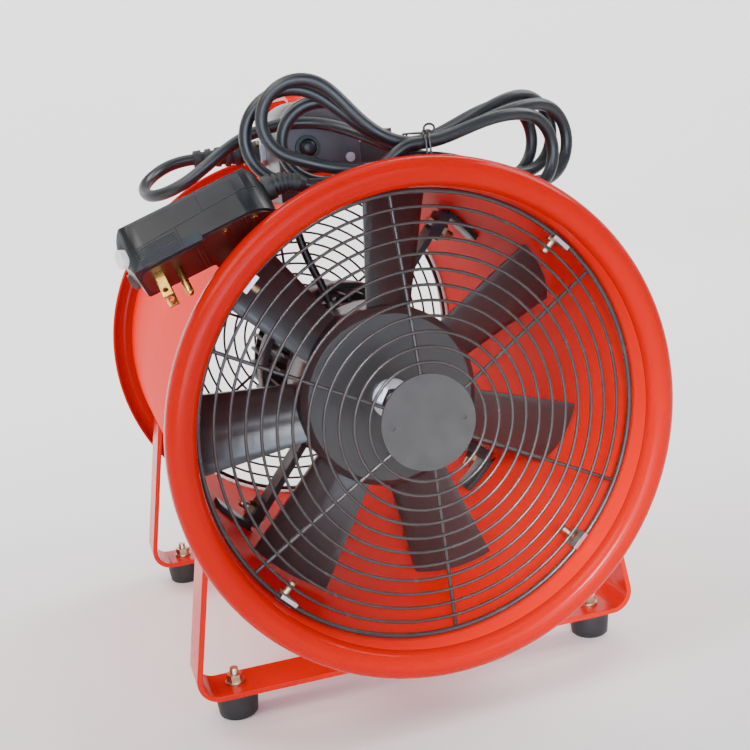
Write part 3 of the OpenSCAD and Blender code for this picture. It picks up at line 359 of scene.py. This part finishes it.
def mesh_piece(name: str, shape: bmesh.types.BMesh) -> bpy.types.Object:
    """Makes a smooth-shaded object of a bmesh and frees it.

    Args:
        name: the piece's name.
        shape: its geometry.

    Returns:
        The object, linked to the scene.
    """
    bmesh.ops.recalc_face_normals(shape, faces=shape.faces)
    data = bpy.data.meshes.new(name)
    shape.to_mesh(data)
    shape.free()
    data.shade_smooth()
    obj = bpy.data.objects.new(name, data)
    bpy.context.scene.collection.objects.link(obj)
    return obj


def wire_piece(name: str, points: list[Vector], diameter: float, sides: int = 4) -> bpy.types.Object:
    """Makes a round wire or cord along points.

    Args:
        name: the piece's name.
        points: its centre line.
        diameter: its diameter.
        sides: Blender's bevel resolution.

    Returns:
        A curve object of one open spline.
    """
    data = bpy.data.curves.new(name, "CURVE")
    data.dimensions = "3D"
    data.bevel_depth = diameter / 2
    data.bevel_resolution = sides
    data.use_fill_caps = True
    line = data.splines.new("POLY")
    line.points.add(len(points) - 1)
    for spot, point in zip(line.points, points):
        spot.co = (*point, 1.0)
    line.use_smooth = True
    obj = bpy.data.objects.new(name, data)
    bpy.context.scene.collection.objects.link(obj)
    return obj


def catmull(points: list[Vector], per_span: int) -> list[Vector]:
    """Runs a smooth line through points.

    Args:
        points: where the line passes.
        per_span: samples between two points.

    Returns:
        The sampled line.
    """
    line = []
    for i in range(len(points) - 1):
        a, b = points[max(i - 1, 0)], points[i]
        c, d = points[i + 1], points[min(i + 2, len(points) - 1)]
        for k in range(per_span):
            t = k / per_span
            line.append(b + t * (c - a) / 2 + t * t * (a - 2.5 * b + 2 * c - d / 2)
                        + t ** 3 * (1.5 * (b - c) + (d - a) / 2))
    return line + [points[-1]]


def even(points: list[Vector], step: float) -> list[Vector]:
    """Spaces points evenly along their line.

    Args:
        points: the line.
        step: wanted spacing.

    Returns:
        The respaced line, with the same ends.
    """
    along = [0.0]
    for a, b in zip(points, points[1:]):
        along.append(along[-1] + (b - a).length)
    count = round(along[-1] / step)
    line, i = [], 0
    for k in range(count + 1):
        want = along[-1] * k / count
        while i < len(points) - 2 and along[i + 1] < want:
            i += 1
        span = along[i + 1] - along[i]
        line.append(points[i].lerp(points[i + 1], (want - along[i]) / span if span else 0))
    return line


def from_axis(x: float, y: float, up: float) -> Vector:
    """A point given in millimetres from the drum's axis."""
    return Vector((x * MM, y * MM, up * MM + AXIS_H))


@dataclass
class Hank:
    """The supply cord folded in a figure of eight over the drum, with its two leads.

    Millimetres from the axis, as in the CAD's routes.
    """

    cord_d: float = 8.0
    waist: Point = (16.0, -147.0, 170.6)
    waist_half: float = 4.8
    step: float = 10.0
    lean: float = 20.0
    run: float = 0.32
    climb: float = 70.0
    right: tuple[Point, ...] = ((92, 24, -1), (104, 25, 2), (112, 25, -2.5), (94, 25, -7.5))
    left: tuple[Point, ...] = ((82, 25, 11), (106, 29, 12), (100, 24, 20))
    turns: int = 7
    first: float = 0.1
    box_lead: tuple[Point, ...] = (
        (-107, -40, 177), (-115, -40, 176.5), (-126, -41, 174), (-137, -48, 169), (-145, -60, 163.5),
        (-147, -75, 159), (-144, -90, 157), (-135, -102, 159), (-122, -109, 165), (-108, -111, 174),
        (-94, -110, 183), (-79, -108.5, 190), (-62, -108.5, 194), (-46, -110, 195), (-30, -115, 193),
        (-15, -125, 187), (-3, -137, 180), (9, -147, 172.5))
    plug_lead: tuple[Point, ...] = (
        (-1, -187, 172), (-11, -186.3, 165), (-22, -184.5, 157), (-33, -182, 153.2), (-44.5, -179, 152),
        (-54, -177.2, 155.3), (-60.05, -176.6, 157.54))
    lean_at: float = 100.0
    samples: int = 240
    spacing: float = 3.0
    nudge: float = 0.01
    lead_gap: float = 1.5
    per_span: int = 6
    evenings: int = 2

    @staticmethod
    def smooth(share: float) -> float:
        """Eases a share from nought to one, flat at both ends."""
        held = max(0.0, min(1.0, share))
        return held * held * (3 - 2 * held)

    def half_turn(self, s: float, reach: float, end_r: float) -> tuple[float, float]:
        """A half-turn from the waist out along one side, round its end and back.

        Args:
            s: share of the half-turn.
            reach: how far it goes out.
            end_r: radius of its end.

        Returns:
            Distance out and height.
        """
        mid = reach - end_r
        near = min(s, 1 - s) / self.run
        if near < 1:
            side = -1 if s < 0.5 else 1
            return mid * near, side * (self.waist_half + (end_r - self.waist_half) * self.smooth(near))
        angle = math.pi * (s - self.run) / (1 - 2 * self.run)
        return mid + end_r * math.sin(angle), -end_r * math.cos(angle)

    def point(self, q: float) -> Vector:
        """A point of the hank.

        Args:
            q: half-turns from its start.

        Returns:
            The point, in metres.
        """
        i = min(self.turns - 1, math.floor(q))
        s, right, k = q - i, i % 2 == 0, i // 2
        reach, end_r, tilt = (self.right if right else self.left)[k]
        along, high = self.half_turn(s, reach, end_r)
        up = high if right else -high
        turn = math.radians(tilt) * self.smooth(along / (reach - end_r))
        out = along * math.cos(turn) - up * math.sin(turn)
        low = s < 0.5 if right else s >= 0.5
        f = min(1.0, along / self.climb) / 2
        level = k + 1.0
        if low:
            level = k + self.ease(0.5 + f) if right else k + 1 + self.ease(0.5 - f)
        return from_axis(self.waist[0] + (out if right else -out),
                         self.waist[1] - self.step * level + self.lean * (out / self.lean_at) ** 2,
                         self.waist[2] + along * math.sin(turn) + up * math.cos(turn))

    @staticmethod
    def ease(share: float) -> float:
        """Half a cosine wave from nought to one."""
        return (1 - math.cos(math.pi * share)) / 2

    def line(self) -> list[Vector]:
        """The whole cord from the boot on the box to the plug's strain relief.

        Returns:
            Evenly spaced points.
        """
        span = self.turns - self.first
        loops = [self.point(self.first + span * k / self.samples) for k in range(self.samples + 1)]
        cord_d = self.cord_d * MM
        way_in = (self.point(self.first + self.nudge) - loops[0]).normalized() * cord_d
        way_out = (loops[-1] - self.point(self.turns - self.nudge)).normalized() * cord_d
        path = [from_axis(*p) for p in self.box_lead]
        path += [loops[0] - self.lead_gap * way_in, loops[0] - way_in] + loops
        path += [loops[-1] + way_out, loops[-1] + self.lead_gap * way_out]
        path += [from_axis(*p) for p in self.plug_lead]
        line = even(catmull(path, self.per_span), self.spacing * MM)
        for _ in range(self.evenings):
            inner = [(a + 2 * b + c) / 4 for a, b, c in zip(line, line[1:], line[2:])]
            line = [line[0]] + inner + [line[-1]]
        return line


@dataclass
class PlugFace:
    """Raised lines on the plug's near side: grip ribs, and the borders of its two bare panels.

    Millimetres along the plug and up it, from the middle of its shell.
    """

    origin: Point = (-126.97, -172.04, 138.51)
    along: Point = (0.9345, -0.0982, 0.3420)
    across: Point = (0.2918, 0.7617, -0.5786)
    upward: Point = (-0.2037, 0.6405, 0.7405)
    start_off: float = 60.0
    rib_n: int = 8
    rib_gap: float = 1.35
    rib_d: float = 0.9
    rib_from: float = -40.0
    rib_to: float = -14.2
    rib_top: float = -7.2
    rib_slope: float = 0.0175
    border_d: float = 0.7
    border_slope: float = 0.07
    border_mid: float = -3.6
    border_half: float = 41.0
    upper_seam: Point = (5.9, -2.6, 13.0)
    lower_seam: Point = (-12.9, -5.0, -16.6)
    step: float = 1.0

    def strokes(self) -> list[tuple[float, float, float, float, float]]:
        """Lists the lines.

        Returns:
            Ends of each line along and up the plug, with its diameter.
        """
        lines = []
        for k in range(self.rib_n):
            high = self.rib_top - k * self.rib_gap
            lines.append((self.rib_from, high + self.rib_slope * self.rib_from,
                          self.rib_to, high + self.rib_slope * self.rib_to, self.rib_d))
        half, mid, level = self.border_half, self.border_mid, self.border_slope
        lines.append((-half, mid - level * half, half, mid + level * half, self.border_d))
        for x, low, high in (self.upper_seam, self.lower_seam):
            lines.append((x, low, x, high, self.border_d))
        return lines

    def spot(self, x: float, up: float) -> Vector | None:
        """Finds where a line from the near side meets the plug's shell.

        Args:
            x: place along the plug.
            up: height on it.

        Returns:
            The point in metres, or nothing beside the shell.
        """
        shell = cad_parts["plug_shell"]
        place = from_axis(*self.origin)
        for axis, reach in ((self.along, x), (self.across, -self.start_off), (self.upward, up)):
            place = place + Vector(axis) * reach * MM
        inward = shell.matrix_world.inverted()
        way = inward.to_3x3() @ Vector(self.across)
        hit, point, _, _ = shell.ray_cast(inward @ place, way)
        return shell.matrix_world @ point if hit else None

    def build(self) -> list[bpy.types.Object]:
        """Lays the lines half sunk in the shell.

        Returns:
            The lines.
        """
        made = []
        for n, (x0, z0, x1, z1, diameter) in enumerate(self.strokes()):
            count = max(2, round(math.hypot(x1 - x0, z1 - z0) / self.step))
            spots = [self.spot(x0 + (x1 - x0) * k / count, z0 + (z1 - z0) * k / count)
                     for k in range(count + 1)]
            line = [spot for spot in spots if spot]
            wire = wire_piece(f"plug_line_{n:02d}", line, diameter * MM, 2)
            made.append(own(wire, BLACK_ABS, Body.HOUSING))
        return made


@dataclass
class Tie:
    """The wire tie: two turns round the hank's waist, then an eye and a twisted tail on top.

    Millimetres, with the tail's turn in radians.
    """

    diameter: float = 1.5
    tall: float = 19.6
    deep: float = 50.0
    slack: float = 0.8
    steps_back: float = 2.15
    turn_n: int = 2
    lead: float = 2.4
    corner: float = 5.0
    corner_n: int = 5
    eye_r: float = 2.6
    eye_wide: float = 1.3
    eye_n: int = 14
    tail_n: int = 8
    tail_r: float = 0.9
    tail_turn: float = 0.9
    tail_step: float = 0.9
    tail_drift: float = 0.3
    tail_rise: float = 0.5

    def winding(self, middle: Point) -> list[Vector]:
        """The turns round the waist, with rounded corners.

        Args:
            middle: middle of the waist's stack of cord.

        Returns:
            Their points.
        """
        x, y, up = middle
        half_y, half_z = self.deep / 2 + self.slack, self.tall / 2 + self.slack
        line = []
        for turn in range(self.turn_n):
            for side, (sy, sz) in enumerate(((-1, 1), (-1, -1), (1, -1), (1, 1))):
                for k in range(self.corner_n):
                    angle = math.radians(90 * (1 + side + k / (self.corner_n - 1)))
                    share = turn + (side + k / self.corner_n) / 4
                    line.append(from_axis(x + self.lead * (share - 1),
                                          y + sy * (half_y - self.corner) + self.corner * math.cos(angle),
                                          up + sz * (half_z - self.corner) + self.corner * math.sin(angle)))
        return line

    def ending(self, middle: Point) -> list[Vector]:
        """The eye that stands on the last turn, and the tail twisted back along it.

        Args:
            middle: middle of the waist's stack of cord.

        Returns:
            Their points.
        """
        x, y, top = middle
        x += self.lead
        y -= self.deep / 2 + self.slack - self.corner
        top += self.tall / 2 + self.slack
        line = []
        for k in range(1, self.eye_n):
            angle = 2 * math.pi * k / self.eye_n
            line.append(from_axis(x - self.eye_r * self.eye_wide * math.sin(angle), y,
                                  top + self.eye_r * (1 - math.cos(angle))))
        for k in range(1, self.tail_n + 1):
            angle = self.tail_turn * k
            line.append(from_axis(x + self.tail_r * math.cos(angle) - self.tail_drift * k,
                                  y + self.tail_step * k,
                                  top + self.tail_r + self.tail_rise * math.sin(angle)))
        return line

    def build(self, hank: Hank) -> bpy.types.Object:
        """Winds the wire round a hank's waist.

        Args:
            hank: the hank that it holds.

        Returns:
            The tie.
        """
        x, y, up = hank.waist
        middle = (x, y - self.steps_back * hank.step, up)
        line = catmull(self.winding(middle) + self.ending(middle), 3)
        return own(wire_piece("hank_tie", line, self.diameter * MM, 3), GREY_WIRE, Body.HOUSING, "cord_tie")


@dataclass
class SupplyCord:
    """The cord in its hank, its wire tie and the plug at its end."""

    hank: Hank = field(default_factory=Hank)
    tie: Tie = field(default_factory=Tie)
    face: PlugFace = field(default_factory=PlugFace)
    plug_nodes: tuple[str, ...] = ("plug_shell", "plug_base", "plug_blades", "plug_pin", "plug_screws",
                                   "plug_relief", "reset_key", "test_key")

    def build(self) -> None:
        """Lays the cord, ties it and dresses the plug."""
        line = self.hank.line()
        flex = own(wire_piece("supply_cord", line, self.hank.cord_d * MM, 6), CORD_PVC, Body.HOUSING,
                   "cord_box_lead", "cord_hank", "cord_plug_lead")
        tie = self.tie.build(self.hank)
        self.dress_plug()
        on_cord = [tie] + self.face.build() + [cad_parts[name] for name in self.plug_nodes]

    def dress_plug(self) -> None:
        """Finishes the plug's CAD pieces."""
        dress(BLACK_ABS, "plug_shell", edge_mm=0.8)
        dress(BROWN_PHENOLIC, "plug_base", edge_mm=0.4)
        dress(BROWN_PHENOLIC, "test_key", edge_mm=0.4)
        dress(BRASS, "plug_blades", "plug_pin", edge_mm=0.25)
        dress(BRASS, "plug_screws", edge_mm=0.25)
        dress(RUBBER, "plug_relief", edge_mm=0.3)
        dress(WHITE_ABS, "reset_key", edge_mm=0.5)


@dataclass
class MotorLead:
    """The short lead from the switch box down through the drum's top to the motor."""

    turn: float = 107.0
    fwd: float = 36.0
    low_r: float = 63.0
    high_r: float = 167.2
    diameter: float = 6.4
    bow: float = 2.2
    free_from: float = 68.0
    free_to: float = 144.0
    spans: int = 39

    def build(self) -> None:
        """Lays the lead, bowed a little between the motor and the drum."""
        turn = math.radians(self.turn)
        across = Vector((-math.sin(turn), 0, math.cos(turn)))
        out = Vector((math.cos(turn), 0, math.sin(turn)))
        base = from_axis(0, -self.fwd, 0)
        line = []
        for k in range(self.spans + 1):
            r = self.low_r + (self.high_r - self.low_r) * k / self.spans
            share = max(0.0, min(1.0, (r - self.free_from) / (self.free_to - self.free_from)))
            line.append(base + out * r * MM + across * self.bow * MM * math.sin(math.pi * share) ** 2)
        lead = own(wire_piece("motor_lead", line, self.diameter * MM), CORD_PVC, Body.HOUSING, "motor_cable")


@dataclass
class Shell:
    """The painted steel: drum with its lips, straps and handle, with feet and fixings.

    Millimetres, from the drum's middle.
    """

    drum_r: float = 150.0
    wall: float = 2.0
    lip_mid: float = 202.0
    lip_r: float = 9.5
    lip_return: float = 4.0
    edge_cut: float = 0.5
    lip_steps: int = 20
    bands: int = 8
    facets: int = 224

    def build(self) -> None:
        """Lathes the drum and finishes the shell's CAD pieces."""
        # The lips take the red darkened as painted shade; the sheet between them takes the red brightened as
        # painted light
        drum = own(self.drum(), RED_LIP_PAINTED_SHADE, Body.HOUSING, "drum", "front_lip", "rear_lip")
        drum.data.materials.append(RED_SHEET_PAINTED_LIGHT.material())
        dress(RED_ENAMEL, "front_strap", "rear_strap", "handle", edge_mm=0.7)
        dress(BLACK_ENAMEL, "arm_tabs", edge_mm=0.5)
        dress(RUBBER, "feet", edge_mm=1.2)
        dress(YELLOW_ZINC, "foot_studs", "guard_bolts", "arm_bolts", edge_mm=0.3)

    def lip_outline(self) -> list[tuple[float, float]]:
        """Section of the front lip, from the drum's inside over its crest and back under it.

        Returns:
            Radius and distance before the drum's middle of each point.
        """
        middle, deep = self.drum_r + self.lip_r, self.lip_r - self.wall
        turn = [math.pi * k / self.lip_steps for k in range(self.lip_steps + 1)]
        over = [(middle - self.lip_r * math.cos(a), self.lip_mid + self.lip_r * math.sin(a)) for a in turn]
        under = [(middle + deep * math.cos(a), self.lip_mid + deep * math.sin(a)) for a in turn]
        edge, cut = self.lip_mid - self.lip_return, self.edge_cut
        rim = [(middle + self.lip_r, edge + cut), (middle + self.lip_r - cut, edge),
               (middle + deep + cut, edge), (middle + deep, edge + cut)]
        return over + rim + under

    def drum(self) -> bpy.types.Object:
        """Lathes the rolled sheet in one piece with its two lips.

        Returns:
            The drum.
        """
        front = self.lip_outline()
        along = [self.lip_mid * k / self.bands for k in range(1 - self.bands, self.bands)]
        inside = [(self.drum_r, f) for f in along]
        outside = [(self.drum_r + self.wall, -f) for f in along]
        outline = inside + front + outside + [(r, -f) for r, f in reversed(front)]
        first_out = len(inside) + len(front)
        shape = bmesh.new()
        rings = []
        for k in range(self.facets):
            a = 2 * math.pi * k / self.facets
            ring = [from_axis(r * math.cos(a), -f, r * math.sin(a)) for r, f in outline]
            rings.append([shape.verts.new(spot) for spot in ring])
        for one, two in zip(rings, rings[1:] + rings[:1]):
            for i in range(len(outline)):
                j = (i + 1) % len(outline)
                face = shape.faces.new((one[i], one[j], two[j], two[i]))
                # Faces of the sheet inside and out take the brightened red, painted light; the lips keep the
                # darkened red, painted shade
                face.material_index = int(i < len(inside) or 0 <= i - first_out < len(outside))
        return mesh_piece("drum_sheet", shape)


@dataclass
class Guards:
    """The two wire guards and what holds them."""

    plate_r: float = 33.0

    def build(self) -> None:
        """Finishes the guards' CAD pieces, with the centre plates duller than the wires."""
        for name in ("front_guard", "rear_guard"):
            dress(GREY_WIRE, name)
            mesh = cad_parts[name].data
            mesh.materials.append(GREY_PLATE.material())
            for face in mesh.polygons:
                off_axis = math.hypot(face.center.x, face.center.z - AXIS_H)
                face.material_index = int(off_axis < self.plate_r * MM)
        dress(BRIGHT_ZINC, "guard_clips", edge_mm=0.3)


@dataclass
class Impeller:
    """The moulded impeller on its shaft."""

    def build(self) -> None:
        """Finishes the impeller's CAD pieces."""
        dress(BLADE_NYLON, "impeller", edge_mm=0.6)
        dress(BRIGHT_ZINC, "hub_washer", edge_mm=0.3)
        dress(CHROME, "shaft_nut", edge_mm=0.3)
        dress(TURNED_STEEL, "shaft", edge_mm=0.4)
        dress(CORE_STEEL, "rotor")


@dataclass
class Motor:
    """The finned motor and its carrier."""

    def build(self) -> None:
        """Finishes the motor's CAD pieces."""
        dress(BLACK_ENAMEL, "motor_frame", "front_bell", "rear_bell", "motor_carrier", edge_mm=0.5)
        dress(CORE_STEEL, "stator")
        dress(COPPER, "windings", edge_mm=2.0)
        dress(TURNED_STEEL, "front_bearing", "rear_bearing", edge_mm=0.4)
        dress(RUBBER, "cable_grommet", edge_mm=0.4)


@dataclass
class SwitchBox:
    """The arched switch box on its saddle, with toggle, push button and cord boot."""

    def build(self) -> None:
        """Finishes the box's CAD pieces."""
        dress(BOX_ENAMEL, "switch_box", "box_cover", edge_mm=0.8)
        dress(BLACK_ENAMEL, "box_saddle", edge_mm=0.5)
        dress(BRIGHT_ZINC, "cover_screws", "boot_flange", edge_mm=0.3)
        dress(YELLOW_ZINC, "flange_screws", edge_mm=0.3)
        dress(BLACK_ABS, "switch_button", "button_bezel", "switch_body", edge_mm=0.3)
        dress(CAN_ALUMINIUM, "capacitor", edge_mm=0.6)
        dress(CHROME, "toggle_bushing", "toggle_lever", edge_mm=0.15)
        dress(RUBBER, "cord_boot", edge_mm=0.4)


@dataclass(frozen=True)
class Lamp:
    """A studio lamp: a flat softbox, or a soft-edged spot where it has a beam.

    Attributes:
        name: what it does.
        place: where it hangs.
        aim: what it points at.
        wide: width of a softbox, or diameter of a spot.
        tall: height of a softbox.
        power: watts.
        tint: colour of its light.
        beam_deg: angle of a spot's beam, none for a softbox.
    """

    name: str
    place: Point
    aim: Point
    wide: float
    tall: float
    power: float
    tint: str
    beam_deg: float = 0.0

    def hang(self) -> None:
        """Adds the lamp to the scene."""
        data = bpy.data.lights.new(self.name, "SPOT" if self.beam_deg else "AREA")
        if self.beam_deg:
            data.spot_size = math.radians(self.beam_deg)
            data.spot_blend = 1.0
            data.shadow_soft_size = self.wide / 2
        else:
            data.shape = "RECTANGLE"
            data.size, data.size_y = self.wide, self.tall
        data.energy = self.power
        data.color = linear(self.tint)[:3]
        lamp = bpy.data.objects.new(self.name, data)
        way = Vector(self.aim) - Vector(self.place)
        lamp.matrix_world = Matrix.Translation(self.place) @ way.to_track_quat("-Z", "Y").to_matrix().to_4x4()
        bpy.context.scene.collection.objects.link(lamp)


# A soft top light, cool window light from the front for the blades' sheen, a warm key from the left,
# a spot by the camera that reaches into the drum, and two lamps that lift the backdrop
LAMPS = (
    Lamp("top_softbox", (-0.30, 0.10, 2.30), (0, 0, 0.2), 1.7, 1.7, 18.0, "#f2f6ff"),
    Lamp("window_softbox", (-0.40, -2.40, 1.00), (0, 0, 0.22), 2.4, 1.0, 24.0, "#d2e1fb"),
    Lamp("low_softbox", (-0.50, -2.20, 0.30), (0, 0, 0.20), 1.7, 0.5, 32.0, "#d2e1fb"),
    Lamp("left_softbox", (-1.43, -0.87, 1.79), (0, 0, 0.2), 1.0, 1.0, 32.0, "#fff8ee"),
    Lamp("right_softbox", (1.20, -0.20, 1.30), (0.5, -0.1, 0.0), 0.7, 0.7, 14.0, "#ffffff"),
    Lamp("drum_fill", (-0.20, -1.10, 0.50), (0.11, -0.05, 0.09), 0.24, 0.24, 120.0, "#ffffff", 18.0),
    Lamp("left_backdrop_light", (-1.3, 1.2, 2.5), (-0.9, 3.3, 0.6), 1.6, 1.6, 98.0, "#ffffff"),
    Lamp("right_backdrop_light", (1.3, 1.2, 2.5), (0.9, 3.3, 0.6), 1.6, 1.6, 98.0, "#ffffff"))


@dataclass
class Studio:
    """A pale sweep all round, soft light and the photo's camera."""

    lens_mm: float = 56.58
    place: Point = (-0.22427, -0.88898, 0.39662)
    right: Point = (0.95366, -0.28463, -0.09756)
    up: Point = (0.15213, 0.17636, 0.97250)
    forward: Point = (0.25959, 0.94228, -0.21149)
    flat_r: float = 2.6
    curve_r: float = 1.2
    wall_h: float = 2.0
    middle_share: float = 0.4
    curve_steps: int = 12
    turn_steps: int = 64
    paper: str = "#f4f4f2"
    paper_rough: float = 0.9
    sky: str = "#eef3ff"
    sky_strength: float = 0.10
    sensor_mm: float = 36.0
    nearest: float = 0.01

    def build(self) -> None:
        """Sets the camera, the sweep and the lights."""
        self.camera()
        self.sweep()
        self.lights()

    def camera(self) -> None:
        """Places the camera where the photo was taken from."""
        data = bpy.data.cameras.new("photo_camera")
        data.sensor_width = self.sensor_mm
        data.sensor_fit = "HORIZONTAL"
        data.lens = self.lens_mm
        data.clip_start = self.nearest
        obj = bpy.data.objects.new("photo_camera", data)
        axes = Matrix((self.right, self.up, tuple(-c for c in self.forward))).transposed().to_4x4()
        obj.matrix_world = Matrix.Translation(self.place) @ axes.to_quaternion().to_matrix().to_4x4()
        bpy.context.scene.collection.objects.link(obj)
        bpy.context.scene.camera = obj

    def sweep(self) -> None:
        """Lathes the floor and the wall that it curves up into."""
        outline = [(0.0, 0.0), (self.flat_r * self.middle_share, 0.0), (self.flat_r, 0.0)]
        for k in range(1, self.curve_steps + 1):
            a = math.pi / 2 * k / self.curve_steps
            outline.append((self.flat_r + self.curve_r * math.sin(a), self.curve_r * (1 - math.cos(a))))
        outline.append((self.flat_r + self.curve_r, self.wall_h))
        shape = bmesh.new()
        ring = [shape.verts.new((r, 0, z)) for r, z in outline]
        edges = [shape.edges.new(pair) for pair in zip(ring, ring[1:])]
        bmesh.ops.spin(shape, geom=ring + edges, cent=(0, 0, 0), axis=(0, 0, 1), angle=2 * math.pi,
                       steps=self.turn_steps, use_merge=True)
        bmesh.ops.remove_doubles(shape, verts=shape.verts, dist=1e-5)
        floor = mesh_piece("floor_sweep", shape)
        paper = bpy.data.materials.new("paper_matt_white")
        paper.use_nodes = True
        shader = paper.node_tree.nodes["Principled BSDF"]
        shader.inputs["Base Color"].default_value = linear(self.paper)
        shader.inputs["Roughness"].default_value = self.paper_rough
        floor.data.materials.append(paper)

    def lights(self) -> None:
        """Hangs the lamps over a faint even sky."""
        world = bpy.data.worlds.new("studio")
        world.use_nodes = True
        sky = world.node_tree.nodes["Background"]
        sky.inputs["Color"].default_value = linear(self.sky)
        sky.inputs["Strength"].default_value = self.sky_strength
        bpy.context.scene.world = world
        for lamp in LAMPS:
            lamp.hang()


def main() -> None:
    """Builds every sub-assembly in order."""
    logging.basicConfig(level=logging.INFO, format="%(message)s")
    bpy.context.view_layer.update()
    for part in (Studio(), SupplyCord(), MotorLead(), Shell(), Guards(), Impeller(), Motor(), SwitchBox()):
        part.build()


if __name__ == "__main__":
    main()
